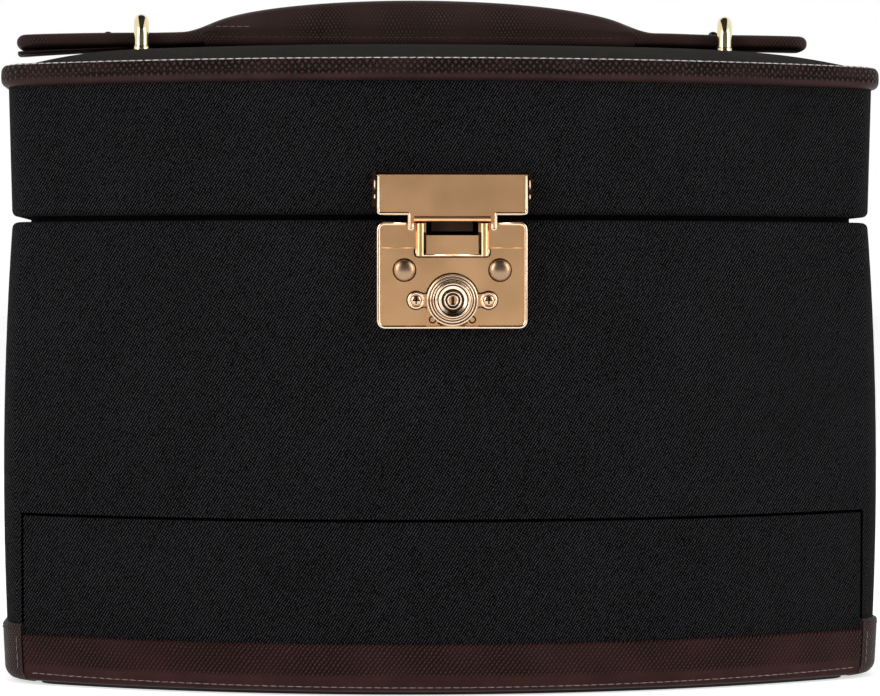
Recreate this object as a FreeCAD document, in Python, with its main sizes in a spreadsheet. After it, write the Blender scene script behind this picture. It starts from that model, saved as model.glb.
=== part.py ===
import FreeCAD, Part
import math
import os
import Sketcher
from FreeCAD import Placement, Rotation, Vector

os.makedirs("parts", exist_ok=True)
DOC = FreeCAD.newDocument("train_case")
SHEET = DOC.addObject("Spreadsheet::Sheet", "dims")

# Driving sizes in millimetres. Front is -Y, right is +X, the case stands on z = 0.
SIZES = (
    # plan of the case at the seam of the lid, and how far it swells above and below
    ("case_half_width", 161.0), ("case_reach", 115.0), ("back_reach", 112.0),
    ("bow_radius", 300.0), ("corner_radius", 17.0), ("rear_radius", 20.0),
    ("belly_swell", 3.2), ("belly_level", 80.0), ("foot_swell", 1.4), ("foot_level", 0.8),
    ("foot_round", 5.0), ("body_top", 171.0), ("edge_round", 2.4), ("wall", 7.0),
    # lid
    ("seam_gap", 2.0), ("lid_swell", 1.2), ("lid_height", 53.0), ("lid_wall", 6.4), ("lid_board", 5.0),
    ("trim_proud", 2.7), ("trim_drop", 5.0), ("trim_height", 8.4), ("trim_lap", 5.0), ("trim_round", 2.5),
    ("pad_corner", 12.0), ("pad_rise", 13.2), ("pad_edge", 2.4), ("crown_reach", 79.0), ("leg_clear", 0.2),
    ("lining", 1.4), ("lip", 5.4), ("lid_lining", 1.2), ("lip_room", 1.6),
    ("mirror_half_width", 95.0), ("mirror_half_depth", 52.0), ("mirror_glass", 3.0), ("mirror_lap", 3.0),
    ("frame_border", 8.0), ("frame_thick", 5.0), ("mirror_clear", 0.1),
    # foot, band and compartment
    ("base_thick", 6.0), ("base_drop", 2.6), ("base_inset", 11.0), ("base_front_inset", 4.0),
    ("base_clear", 0.2), ("base_gap", 0.7), ("band_thick", 1.6), ("band_top", 21.4),
    ("floor_room", 2.4), ("floor_thick", 4.0), ("floor_pad", 1.2), ("pad_gap", 0.1),
    # drawer
    ("drawer_inset", 5.0), ("drawer_gap", 0.9), ("drawer_wrap", 10.8), ("window_room", 3.2),
    ("drawer_panel", 9.0),
    ("drawer_foot", 3.0), ("drawer_top", 62.4), ("drawer_top_gap", 1.2), ("drawer_band_top", 18.4),
    ("side_room", 2.0), ("side_thick", 5.5), ("side_foot", 7.2), ("side_drop", 7.4),
    ("back_room", 7.0), ("box_back_thick", 5.0), ("bottom_level", 9.0), ("bottom_thick", 3.0),
    ("bottom_corner", 4.0), ("bottom_rear", 1.0), ("felt", 1.0), ("felt_inset", 0.5),
    ("slide_gap", 0.25), ("runner_flange", 22.0), ("runner_setback", 3.0), ("runner_lap", 0.5),
    ("drawer_travel", 120.0), ("stop_half_width", 15.0), ("stop_long", 8.0), ("stop_deep", 5.0),
    ("stop_slack", 1.0), ("tab_half_width", 12.0), ("tab_gap", 2.0), ("catch_x", 60.0), ("catch_z", 30.0),
    ("magnet_radius", 4.0), ("disc_radius", 5.0), ("disc_thick", 1.2), ("magnet_gap", 0.3),
    # tray
    ("tray_gap", 3.0), ("tray_drop", 7.0), ("tray_height", 42.0), ("tray_wall", 2.5), ("tray_split", 18.0),
    ("tray_column", 49.0), ("divider_drop", 4.0), ("divider_clear", 0.1),
    ("ledge_thick", 4.0), ("ledge_wide", 9.0), ("ledge_setback", 18.6), ("ledge_rear_gap", 4.0),
    # hinges
    ("hinge_x", 95.0), ("hinge_half", 18.0), ("hinge_out", 3.3), ("knuckle_radius", 3.0), ("pin_radius", 1.5),
    ("pin_clear", 0.05), ("leaf_thick", 1.2), ("leaf_long", 19.0), ("leaf_room", 0.4), ("knuckle_gap", 0.3),
    ("hinge_screw_radius", 2.2), ("hinge_screw_rise", 0.9), ("hinge_screw_drop", 12.0),
    ("hinge_screw_pitch", 11.9),
    # lock plate, with levels counted down from its top
    ("plate_half", 27.0), ("plate_gap", 0.8), ("plate_height", 38.2), ("plate_stand", 4.9),
    ("plate_deep", 8.0), ("plate_corner", 3.0), ("plate_round", 1.0),
    ("ridge_x", 11.4), ("ridge_radius", 1.7), ("ridge_drop", 0.6), ("hump_drop", 12.2),
    ("panel_half", 9.8), ("panel_drop", 4.8), ("panel_rise", 1.2), ("pocket_half", 9.4), ("pocket_deep", 8.6),
    ("rivet_x", 17.1), ("rivet_drop", 17.2), ("rivet_radius", 3.9), ("rivet_rise", 1.9),
    ("key_drop", 28.0), ("scutcheon_radius", 9.3), ("scutcheon_thick", 1.1),
    ("scutcheon_step", 1.05), ("scutcheon_rise", 0.5),
    ("ear_x", 13.0), ("ear_radius", 3.0), ("ear_thick", 1.0), ("bridge_half", 2.2), ("bridge_lap", 2.0),
    ("foot_tab_x", 7.3), ("foot_tab_half", 1.9), ("foot_tab_drop", 8.9),
    ("screw_radius", 1.9), ("screw_rise", 0.8),
    ("button_radius", 6.4), ("button_proud", 4.0), ("button_long", 10.6), ("button_clear", 0.3),
    ("flange_radius", 7.3), ("flange_thick", 1.0), ("flange_set", 1.6),
    ("plug_radius", 3.3), ("plug_clear", 0.06), ("plug_sink", 0.6), ("dish_radius", 5.6), ("dish_deep", 0.9),
    ("keyway_half", 0.55), ("keyway_high", 1.7), ("keyway_deep", 3.0),
    ("case_half", 16.6), ("case_margin", 1.0), ("case_drop", 5.8), ("case_thick", 1.2), ("case_step", 0.8),
    ("case_gap", 0.1), ("recess_gap", 0.3),
    ("bolt_half", 2.8), ("bolt_front", 3.0), ("bolt_thick", 2.2), ("bolt_rise", 8.6), ("bolt_clear", 0.4),
    # hasp
    ("hasp_half", 27.0), ("hasp_lap", 0.4), ("hasp_height", 14.4), ("hasp_stand", 6.1), ("hasp_thick", 1.2),
    ("hasp_corner", 2.6), ("flange_wall", 1.1), ("flange_back", 1.4), ("flange_tuck", 0.4),
    ("flange_over", 1.2),
    ("hasp_pin_drop", 1.6), ("hasp_pin_out", 3.6), ("hasp_pin_radius", 1.1), ("hasp_pin_clear", 0.06),
    ("hasp_pin_end", 0.6), ("tongue_half", 16.0), ("tongue_gap", 0.1), ("lug_drop", 3.2), ("lug_wide", 2.3),
    ("lip_radius", 1.0), ("mount_lift", 2.6), ("mount_over", 1.4), ("mount_stand", 1.3),
    ("mount_ear_gap", 0.3), ("mount_ear_wall", 1.3), ("mount_ear_lift", 3.0), ("mount_ear_nose", 1.9),
    ("staple_half", 7.4), ("staple_drop", 3.3), ("staple_thick", 1.6), ("staple_tuck", 0.4),
    ("staple_web", 1.9), ("staple_back", 2.2), ("eye_half", 3.5), ("eye_room", 0.6),
    # handle
    ("loop_x", 115.0), ("loop_radius", 2.9), ("loop_bend", 9.0), ("loop_clear", 1.3), ("loop_over", 1.2),
    ("strap_half_width", 12.0), ("strap_rest", 0.8), ("strap_thick", 6.0), ("strap_round", 2.0),
    ("strap_end", 8.0), ("strap_middle", -6.2),
    ("grip_half_long", 84.0), ("grip_rise", 12.2), ("grip_half_width", 13.0),
    ("bend_end", 6.0), ("tail_left_long", 42.2), ("tail_right_long", 26.0), ("tail_gap", 0.2),
    ("flap_thick", 1.8), ("flap_long", 14.0), ("flap_set", 1.0), ("stud_left_out", 13.0),
    ("stud_right_in", 3.0), ("stud_radius", 1.6), ("stud_rise", 1.6),
)
SIDES = (("left", -1.0), ("right", 1.0))
HINGE_KNUCKLES = 5
HINGE_SCREWS = (-1.0, 0.0, 1.0)
SCUTCHEON_RINGS = 3
CROWN_RINGS = 7
CROWN_POWER = 1.8
EDGE_TOLERANCE = 1e-3


class Dim:
    """A length held both as a sheet expression and as its number."""

    def __init__(self, text, value):
        self.text, self.value = text, value

    def _join(self, other, sign, value):
        return Dim("(%s %s %s)" % (self.text, sign, other.text), value)

    def __add__(self, other):
        other = as_dim(other)
        return self._join(other, "+", self.value + other.value)

    def __sub__(self, other):
        other = as_dim(other)
        return self._join(other, "-", self.value - other.value)

    def __mul__(self, factor):
        other = as_dim(factor)
        return self._join(other, "*", self.value * other.value)

    def __neg__(self):
        return self * -1.0

    def root(self):
        return Dim("sqrt(%s)" % self.text, math.sqrt(self.value))


def as_dim(value):
    return value if isinstance(value, Dim) else Dim("%.6f" % value, float(value))


class Sizes:
    """Gives each sheet size as a Dim."""

    def __getattr__(self, name):
        return Dim("dims." + name, float(SHEET.get(name)))


for row, (alias, number) in enumerate(SIZES, 1):
    SHEET.set("A%d" % row, alias)
    SHEET.set("B%d" % row, str(number))
    SHEET.setAlias("B%d" % row, alias)
DOC.recompute()
D = Sizes()


def bind(item, prop, length):
    length = as_dim(length)
    item.setExpression(prop, length.text)


def place(item, x, y, z):
    for axis, length in zip("xyz", (x, y, z)):
        bind(item, "Placement.Base." + axis, length)


# Primitive solids

def box(name, x, y, z):
    """Box between pairs of limits."""
    item = DOC.addObject("Part::Box", name)
    for prop, (low, high) in zip(("Length", "Width", "Height"), (x, y, z)):
        bind(item, prop, as_dim(high) - low)
    place(item, x[0], y[0], z[0])
    return item


TURNS = {"x": Rotation(Vector(0, 1, 0), 90), "y": Rotation(Vector(1, 0, 0), -90),
         "-y": Rotation(Vector(1, 0, 0), 90), "z": Rotation(), "-z": Rotation(Vector(1, 0, 0), 180)}


def rod(name, axis, start, radius, length):
    item = DOC.addObject("Part::Cylinder", name)
    item.Placement = Placement(Vector(), TURNS[axis])
    bind(item, "Radius", radius)
    bind(item, "Height", length)
    place(item, *start)
    return item


def dome(name, axis, start, rise, along, across):
    """Upper half of an ellipsoid standing on its flat side."""
    item = DOC.addObject("Part::Ellipsoid", name)
    item.Placement = Placement(Vector(), TURNS[axis])
    bind(item, "Radius1", rise)
    bind(item, "Radius2", along)
    bind(item, "Radius3", across)
    item.Angle1, item.Angle2, item.Angle3 = 0, 90, 360
    place(item, *start)
    return item


def fuse(name, *items):
    item = DOC.addObject("Part::MultiFuse", name)
    item.Shapes = list(items)
    item.Refine = True
    return item


def cut(name, base, *tools):
    item = DOC.addObject("Part::Cut", name)
    item.Base = base
    item.Tool = tools[0] if len(tools) == 1 else fuse(name + "_tools", *tools)
    return item


def common(name, first, second):
    item = DOC.addObject("Part::Common", name)
    item.Base, item.Tool = first, second
    return item


def group(name, *items):
    item = DOC.addObject("Part::Compound", name)
    item.Links = list(items)
    return item


# Sketched solids

def body(name):
    return DOC.addObject("PartDesign::Body", name)


def sketch(owner, name, plane, offset):
    item = owner.newObject("Sketcher::SketchObject", name)
    support = [part for part in owner.Origin.OriginFeatures if part.Role == plane + "_Plane"][0]
    item.AttachmentSupport = [(support, "")]
    item.MapMode = "FlatFace"
    bind(item, "AttachmentOffset.Base.z", offset)
    return item


def fix(drawing, label, rule, length):
    index = drawing.addConstraint(rule)
    drawing.renameConstraint(index, label)
    drawing.setExpression("Constraints." + label, length.text)


def draw_loop(drawing, corners, tag=""):
    """Closed loop of straight lines, each corner held from the origin."""
    first = drawing.GeometryCount
    count = len(corners)
    ends = [(as_dim(u), as_dim(v)) for u, v in corners]
    for i in range(count):
        (u0, v0), (u1, v1) = ends[i], ends[(i + 1) % count]
        start, end = Vector(u0.value, v0.value, 0), Vector(u1.value, v1.value, 0)
        drawing.addGeometry(Part.LineSegment(start, end), False)
    for i in range(count):
        drawing.addConstraint(Sketcher.Constraint("Coincident", first + i, 2, first + (i + 1) % count, 1))
    for i, (u, v) in enumerate(ends):
        fix(drawing, "u%s%d" % (tag, i), Sketcher.Constraint("DistanceX", -1, 1, first + i, 1, u.value), u)
        fix(drawing, "v%s%d" % (tag, i), Sketcher.Constraint("DistanceY", -1, 1, first + i, 1, v.value), v)


def rectangle(drawing, u, v, tag=""):
    draw_loop(drawing, [(u[0], v[0]), (u[1], v[0]), (u[1], v[1]), (u[0], v[1])], tag)


def pad(owner, name, profile, length, backward=False):
    item = owner.newObject("PartDesign::Pad", name)
    item.Profile = profile
    item.Reversed = backward
    bind(item, "Length", length)
    return item


def pocket(owner, name, profile, length, backward=False):
    item = owner.newObject("PartDesign::Pocket", name)
    item.Profile = profile
    item.Reversed = backward
    bind(item, "Length", length)
    return item


def round_edges(owner, name, feature, wanted, radius):
    """Fillet on the edges that pass the wanted test."""
    DOC.recompute()
    names = ["Edge%d" % (i + 1) for i, edge in enumerate(feature.Shape.Edges) if wanted(edge)]
    item = owner.newObject("PartDesign::Fillet", name)
    item.Base = (feature, names)
    bind(item, "Radius", radius)
    return item


def lies_at(low, high, place):
    return abs(low - place) + abs(high - place) < EDGE_TOLERANCE


def level_edge(*levels):
    """Test for an edge that lies wholly at one of the levels."""
    return lambda edge: any(lies_at(edge.BoundBox.ZMin, edge.BoundBox.ZMax, z) for z in levels)


def depth_edge(y):
    return lambda edge: lies_at(edge.BoundBox.YMin, edge.BoundBox.YMax, y)


def runs_along(axis):
    def test(edge):
        if edge.Curve.TypeId != "Part::GeomLine":
            return False
        start, end = edge.Vertexes[0].Point, edge.Vertexes[-1].Point
        step = end.sub(start)
        return abs(abs(getattr(step, axis)) - step.Length) < EDGE_TOLERANCE
    return test


# Plan outline of the case: bowed front, rounded corners, flat back

class Plan:
    def __init__(self, half, front, back, bow, corner, rear):
        self.half, self.front, self.back = as_dim(half), as_dim(front), as_dim(back)
        self.bow, self.corner, self.rear = as_dim(bow), as_dim(corner), as_dim(rear)

    def inset(self, amount):
        return Plan(self.half - amount, self.front - amount, self.back - amount,
                    self.bow - amount, self.corner - amount, self.rear - amount)

    def squeeze(self, amount, corner):
        return Plan(self.half - amount, self.front - amount, self.back - amount,
                    self.bow - amount, corner, corner)

    def side_front(self):
        """Depth at which the straight side starts behind the rounded front corner."""
        across, along = self.bow - self.corner, self.half - self.corner
        return self.bow - self.front - (across * across - along * along).root()


def outline(owner, name, plan, level):
    drawing = sketch(owner, name, "XY", level)
    half, bow, corner, rear = plan.half.value, plan.bow.value, plan.corner.value, plan.rear.value
    back, bow_y = plan.back.value, plan.bow.value - plan.front.value
    corner_x = half - corner
    lean = math.asin(corner_x / (bow - corner))
    corner_y = bow_y - (bow - corner) * math.cos(lean)
    quarter = math.pi / 2

    def arc(x, y, radius, start, end):
        return Part.ArcOfCircle(Part.Circle(Vector(x, y, 0), Vector(0, 0, 1), radius), start, end)

    def line(x0, y0, x1, y1):
        return Part.LineSegment(Vector(x0, y0, 0), Vector(x1, y1, 0))

    drawing.addGeometry([
        arc(0, bow_y, bow, -quarter - lean, -quarter + lean),
        arc(corner_x, corner_y, corner, -quarter + lean, 0),
        line(half, corner_y, half, back - rear),
        arc(half - rear, back - rear, rear, 0, quarter),
        line(half - rear, back, -half + rear, back),
        arc(-half + rear, back - rear, rear, quarter, 2 * quarter),
        line(-half, back - rear, -half, corner_y),
        arc(-corner_x, corner_y, corner, 2 * quarter, 3 * quarter - lean)], False)
    rule = Sketcher.Constraint
    for i in range(8):
        drawing.addConstraint(rule("Tangent", i, 2, (i + 1) % 8, 1))
    drawing.addConstraint(rule("PointOnObject", 0, 3, -2))
    drawing.addConstraint([rule("Vertical", 2), rule("Vertical", 6), rule("Horizontal", 4)])
    fix(drawing, "bow_centre", rule("DistanceY", -1, 1, 0, 3, bow_y), plan.bow - plan.front)
    fix(drawing, "bow", rule("Radius", 0, bow), plan.bow)
    for label, index, length in (("front_right", 1, plan.corner), ("front_left", 7, plan.corner),
                                 ("rear_right", 3, plan.rear), ("rear_left", 5, plan.rear)):
        fix(drawing, label, rule("Radius", index, length.value), length)
    fix(drawing, "right", rule("DistanceX", -1, 1, 2, 1, half), plan.half)
    fix(drawing, "left", rule("DistanceX", 6, 1, -1, 1, half), plan.half)
    fix(drawing, "back", rule("DistanceY", -1, 1, 4, 1, back), plan.back)
    return drawing


def loft(owner, name, drawings):
    item = owner.newObject("PartDesign::AdditiveLoft", name)
    item.Profile = drawings[0]
    item.Sections = drawings[1:]
    return item


def prism(name, plan, low, high):
    owner = body(name)
    pad(owner, name + "_pad", outline(owner, name + "_plan", plan, low), as_dim(high) - low)
    return owner


QUARTER_DROP = 1.0 - math.sqrt(0.5)


def rounded_block(name, sections, foot_round=None, top_round=None):
    """Smooth block through plan sections with rounded foot and top edges."""
    owner = body(name)
    plans = [plan for plan, level in sections]
    levels = [as_dim(level) for plan, level in sections]
    low, high = levels[0], levels[-1]
    if foot_round is not None:
        levels[0] = low + foot_round
    if top_round is not None:
        levels[-1] = high - top_round
    main = [outline(owner, "%s_main%d" % (name, i), plan, level)
            for i, (plan, level) in enumerate(zip(plans, levels))]
    loft(owner, name + "_wall", main)
    if foot_round is not None:
        mid = outline(owner, name + "_foot_mid", plans[0].inset(foot_round * QUARTER_DROP),
                      low + foot_round * QUARTER_DROP)
        end = outline(owner, name + "_foot_end", plans[0].inset(foot_round), low)
        loft(owner, name + "_foot", [main[0], mid, end])
    if top_round is not None:
        mid = outline(owner, name + "_top_mid", plans[-1].inset(top_round * QUARTER_DROP),
                      high - top_round * QUARTER_DROP)
        end = outline(owner, name + "_top_end", plans[-1].inset(top_round), high)
        loft(owner, name + "_top", [main[-1], mid, end])
    return owner


NODES = []


def node(name, item):
    item.Label = name
    NODES.append((name, item))
    return item


def swell(amount):
    """Plan of the case, wider and deeper in front than at the seam by one amount."""
    return Plan(D.case_half_width + amount, D.case_reach + amount, D.back_reach,
                D.bow_radius, D.corner_radius, D.rear_radius)


FOOT = swell(D.foot_swell)
BELLY = swell(D.belly_swell)
SEAM = swell(as_dim(0.0))
LID_TOP = swell(D.lid_swell)
CENTRE = as_dim(0.0)
# Cutters run past what they cut: FAR outside the case, OVER beyond a face
FAR = BELLY.half * 2.0
OVER = D.wall
lid_foot = D.body_top + D.seam_gap
lid_top = lid_foot + D.lid_height
lid_ceiling = lid_top - D.lid_board
hinge_y = D.back_reach + D.hinge_out
hinge_z = D.body_top + D.seam_gap * 0.5
side_start = SEAM.side_front()

# Case blocks and the cavity

case_block = rounded_block("case_block", [(FOOT, D.foot_level), (BELLY, D.belly_level), (SEAM, D.body_top)],
                           D.foot_round, D.edge_round)
cavity = prism("cavity", SEAM.inset(D.wall), D.foot_level - OVER, D.body_top + OVER)
panel_back_y = side_start - D.drawer_wrap
drawer_half = D.case_half_width - D.drawer_inset
window_half = drawer_half + D.drawer_gap
window = box("window", (-window_half, window_half), (-FAR, side_start + D.window_room),
             (-FAR, D.drawer_top + D.drawer_top_gap))

plate_top = D.body_top - D.plate_gap
plate_foot = plate_top - D.plate_height
panel_top = plate_top - D.panel_drop
key_z = plate_top - D.key_drop
lock_face = -(D.case_reach + D.plate_stand)
wall_inner_y = D.wall - D.case_reach
case_foot, case_top = plate_foot + D.case_margin, plate_top - D.case_drop
recess_half = D.case_half + D.recess_gap
recess = box("recess", (-recess_half, recess_half), (-FAR, wall_inner_y + OVER),
             (case_foot - D.recess_gap, case_top + D.recess_gap))
pocket_back_y = lock_face + D.pocket_deep
throat = box("throat", (-D.pocket_half, D.pocket_half), (-FAR, pocket_back_y), (panel_top, D.body_top + OVER))

bolt_front_y = lock_face + D.bolt_front
bolt_back_y = bolt_front_y + D.bolt_thick
bolt_foot = key_z + D.bolt_rise
way_half = D.bolt_half + D.bolt_clear
bolt_way = box("bolt_way", (-way_half, way_half), (bolt_front_y - D.bolt_clear, bolt_back_y + D.bolt_clear),
               (bolt_foot - D.bolt_clear, plate_top + OVER))

# Foot of the case

base = body("base_board")
base_corner, base_rear = D.corner_radius - D.wall, D.rear_radius - D.wall
base_setback = D.drawer_panel + D.base_gap
base_upper = Plan(D.case_half_width - D.wall, D.case_reach - base_setback, D.back_reach - D.wall,
                  D.bow_radius - base_setback, base_corner, base_rear)
base_lower = Plan(D.case_half_width - D.base_inset, FOOT.front - D.base_front_inset,
                  D.back_reach - D.base_inset, D.bow_radius - D.base_front_inset, base_corner, base_rear)
for name, plan, low, high in (("base_lower", base_lower, CENTRE, D.base_drop),
                              ("base_upper", base_upper, D.base_drop, D.base_thick)):
    pad(base, name + "_pad", outline(base, name + "_plan", plan, low), high - low)
node("base_board", base)
base_seat = prism("base_seat", base_lower.inset(-D.base_clear), D.foot_level - OVER, D.base_drop)
node("body_shell", cut("body_shell", case_block, cavity, window, recess, throat, bolt_way, base_seat))

band_block = rounded_block("band_block", [(FOOT.inset(-D.band_thick), D.foot_level - D.band_thick),
                                          (BELLY.inset(-D.band_thick), D.belly_level),
                                          (SEAM.inset(-D.band_thick), D.body_top)],
                           D.foot_round + D.band_thick)
band_ring = cut("band_ring", band_block, case_block)
side_slice = box("side_slice", (-FAR, FAR), (-FAR, FAR), (D.foot_level, D.band_top))
node("side_band", cut("side_band", common("side_ring", band_ring, side_slice), window))

floor_level = D.drawer_top + D.drawer_top_gap + D.floor_room
lining_foot = floor_level + D.floor_thick
node("compartment_floor", prism("compartment_floor", SEAM.inset(D.wall), floor_level, lining_foot))
lining_top = D.body_top + D.lip
inside = SEAM.inset(D.wall + D.lining)
lining_outer = prism("lining_outer", SEAM.inset(D.wall), lining_foot, lining_top)
lining_inner = prism("lining_inner", inside, lining_foot - OVER, lining_top + OVER)
node("body_lining", cut("body_lining", lining_outer, lining_inner))
node("floor_pad", prism("floor_pad", inside.inset(D.pad_gap), lining_foot, lining_foot + D.floor_pad))

# Drawer

panel_width, panel_depth = (-drawer_half, drawer_half), (-FAR, panel_back_y)
panel_slice = box("panel_slice", panel_width, panel_depth, (D.drawer_foot, D.drawer_top))
panel_inner = prism("panel_inner", SEAM.inset(D.drawer_panel), -OVER, D.body_top)
node("drawer_front", cut("drawer_front", common("panel_blank", case_block, panel_slice), panel_inner))
band_slice = box("band_slice", panel_width, panel_depth, (D.drawer_foot, D.drawer_band_top))
node("drawer_band", common("drawer_band", band_ring, band_slice))

side_outer = D.case_half_width - D.wall - D.side_room
side_inner = side_outer - D.side_thick
side_top = D.drawer_top - D.side_drop
box_back = D.back_reach - D.wall - D.back_room
back_front_y = box_back - D.box_back_thick
for side, limits in (("left", (-side_outer, -side_inner)), ("right", (side_inner, side_outer))):
    board = box("drawer_side_" + side, limits, (panel_back_y, box_back), (D.side_foot, side_top))
    node("drawer_side_" + side, board)
back_panel = box("back_panel", (-side_inner, side_inner), (back_front_y, box_back), (D.side_foot, side_top))
back_tab = box("back_tab", (-D.tab_half_width, D.tab_half_width), (back_front_y, box_back),
               (side_top, floor_level - D.tab_gap))
node("drawer_back", fuse("drawer_back", back_panel, back_tab))
bottom_setback = D.drawer_panel + D.pad_gap
bottom_plan = Plan(side_inner, D.case_reach - bottom_setback, back_front_y, D.bow_radius - bottom_setback,
                   D.bottom_corner, D.bottom_rear)
felt_level = D.bottom_level + D.bottom_thick
node("drawer_bottom", prism("drawer_bottom", bottom_plan, D.bottom_level, felt_level))
node("drawer_felt", prism("drawer_felt", bottom_plan.inset(D.felt_inset), felt_level, felt_level + D.felt))

runner_start = panel_back_y + D.runner_setback
for side, sign in SIDES:
    owner = body("drawer_runner_" + side)
    profile = sketch(owner, "runner_profile_" + side, "XZ", -runner_start)
    outer = (D.case_half_width - D.wall) * sign
    inner = (side_inner + D.runner_lap) * sign
    web = (side_outer + D.slide_gap) * sign
    rest = D.side_foot - D.slide_gap
    draw_loop(profile, [(outer, D.base_thick), (outer, D.runner_flange), (web, D.runner_flange), (web, rest),
                        (inner, rest), (inner, D.base_thick)])
    pad(owner, "runner_pad_" + side, profile, D.back_reach - D.rear_radius - runner_start, True)
    node("drawer_runner_" + side, owner)

stop_back_y = back_front_y - D.drawer_travel - D.stop_slack
node("drawer_stop", box("drawer_stop", (-D.stop_half_width, D.stop_half_width),
                        (stop_back_y - D.stop_long, stop_back_y), (floor_level - D.stop_deep, floor_level)))
magnet_y = box_back + D.disc_thick + D.magnet_gap
magnets = [rod("magnet_" + side, "y", (D.catch_x * sign, magnet_y, D.catch_z), D.magnet_radius,
               D.back_reach - D.wall - magnet_y) for side, sign in SIDES]
node("catch_magnets", group("catch_magnets", *magnets))
discs = [rod("disc_" + side, "y", (D.catch_x * sign, box_back, D.catch_z), D.disc_radius, D.disc_thick)
         for side, sign in SIDES]
node("catch_discs", group("catch_discs", *discs))

# Tray: a pan on two ledges, with a long divider and four partitions that stand loose in it

tray_top = D.body_top - D.tray_drop
tray_foot = tray_top - D.tray_height
lining_x = D.case_half_width - D.wall - D.lining
ledge_x = lining_x - D.ledge_wide
ledge_run = (side_start + D.ledge_setback, D.back_reach - D.rear_radius - D.ledge_rear_gap)
for side, limits in (("left", (-lining_x, -ledge_x)), ("right", (ledge_x, lining_x))):
    ledge = box("tray_ledge_" + side, limits, ledge_run, (tray_foot - D.ledge_thick, tray_foot))
    node("tray_ledge_" + side, ledge)
tray_plan = inside.inset(D.tray_gap)
tray = body("tray")
pad(tray, "tray_block", outline(tray, "tray_plan", tray_plan, tray_foot), D.tray_height)
pocket(tray, "tray_hollow", outline(tray, "tray_inside", tray_plan.inset(D.tray_wall), tray_top),
       D.tray_height - D.tray_wall)
node("tray", tray)

divider_foot, divider_top = tray_foot + D.tray_wall, tray_top - D.divider_drop
tray_room = prism("tray_room", tray_plan.inset(D.tray_wall + D.divider_clear), divider_foot, divider_top)
half_divider = D.tray_wall * 0.5
split_front, split_back = D.tray_split - half_divider, D.tray_split + half_divider
divider_rise = (divider_foot, divider_top)
long_board = box("long_board", (-FAR, FAR), (split_front, split_back), divider_rise)
node("tray_divider", common("tray_divider", tray_room, long_board))
partitions = []
for side, sign in SIDES:
    column = D.tray_column * sign
    faces = (column - half_divider, column + half_divider)
    for end, limits in (("front", (-FAR, split_front)), ("back", (split_back, FAR))):
        name = "partition_%s_%s" % (end, side)
        board = box(name + "_board", faces, limits, divider_rise)
        partitions.append(common(name, tray_room, board))
node("tray_partitions", group("tray_partitions", *partitions))

# Lid

lid_block = rounded_block("lid_block", [(SEAM, lid_foot), (LID_TOP, lid_top)], D.edge_round)
lid_cavity = prism("lid_cavity", SEAM.inset(D.lid_wall), lid_foot - OVER, lid_ceiling)
node("lid_shell", cut("lid_shell", lid_block, lid_cavity))

trim_low = lid_top - D.trim_drop
trim_high = trim_low + D.trim_height
pad_plan = LID_TOP.squeeze(D.trim_lap, D.pad_corner)
trim_blank = body("trim_blank")
trim_plan = outline(trim_blank, "trim_plan", LID_TOP.inset(-D.trim_proud), trim_low)
trim_pad = pad(trim_blank, "trim_pad", trim_plan, D.trim_height)
round_edges(trim_blank, "trim_fillet", trim_pad, level_edge(trim_low.value, trim_high.value), D.trim_round)
trim_hole = prism("trim_hole", pad_plan, trim_low - OVER, trim_high + OVER)
node("lid_trim", cut("lid_trim", trim_blank, lid_block, trim_hole))

# The padded top rises from the trim in rings that come closer to level towards the middle
pad_body = body("pad_body")
pad_shoulder = lid_top + D.pad_edge
crown_rise = D.pad_rise - D.pad_edge
pad(pad_body, "pad_foot", outline(pad_body, "pad_plan", pad_plan, lid_top), D.pad_edge)
rings = []
for i in range(CROWN_RINGS):
    inward = i / (CROWN_RINGS - 1.0)
    ring = LID_TOP.squeeze(D.trim_lap + D.crown_reach * (inward * inward), D.pad_corner)
    level = pad_shoulder + crown_rise * (1.0 - (1.0 - inward) ** CROWN_POWER)
    rings.append(outline(pad_body, "pad_ring%d" % i, ring, level))
loft(pad_body, "pad_crown", rings).Ruled = True
leg_y = D.strap_half_width + D.loop_clear + D.loop_radius
leg_holes = [rod("leg_hole_%s_%s" % (side, end), "z", (D.loop_x * sx, leg_y * sy, lid_top - OVER),
                 D.loop_radius + D.leg_clear, D.pad_rise + OVER * 2.0)
             for side, sx in SIDES for end, sy in (("front", -1.0), ("back", 1.0))]
node("lid_pad", cut("lid_pad", pad_body, *leg_holes))

cap_foot = D.body_top + D.lip + D.lip_room
frame_top = lid_ceiling - D.lid_lining
cap_outer = prism("cap_outer", SEAM.inset(D.lid_wall), cap_foot, lid_ceiling)
cap_inner = prism("cap_inner", SEAM.inset(D.lid_wall + D.lid_lining), cap_foot - OVER, frame_top)
node("lid_lining", cut("lid_lining", cap_outer, cap_inner))


def mirror_block(name, border, low, high):
    """Block as large as the mirror's seat, wider by a border all round."""
    half_x, half_y = D.mirror_half_width + border, D.mirror_half_depth + border
    return box(name, (-half_x, half_x), (-half_y, half_y), (low, high))


frame_low = frame_top - D.frame_thick
glass_low = frame_top - D.mirror_glass - D.mirror_clear
frame_block = mirror_block("frame_block", D.frame_border - D.mirror_lap, frame_low, frame_top)
mirror_seat = mirror_block("mirror_seat", CENTRE, glass_low, frame_top + OVER)
mirror_sight = mirror_block("mirror_sight", -D.mirror_lap, frame_low - OVER, frame_top + OVER)
node("mirror_frame", cut("mirror_frame", frame_block, mirror_seat, mirror_sight))
node("mirror", mirror_block("mirror", -D.mirror_clear, glass_low, glass_low + D.mirror_glass))

# Back hinges

knuckle_pitch = D.hinge_half * (2.0 / HINGE_KNUCKLES)


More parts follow.
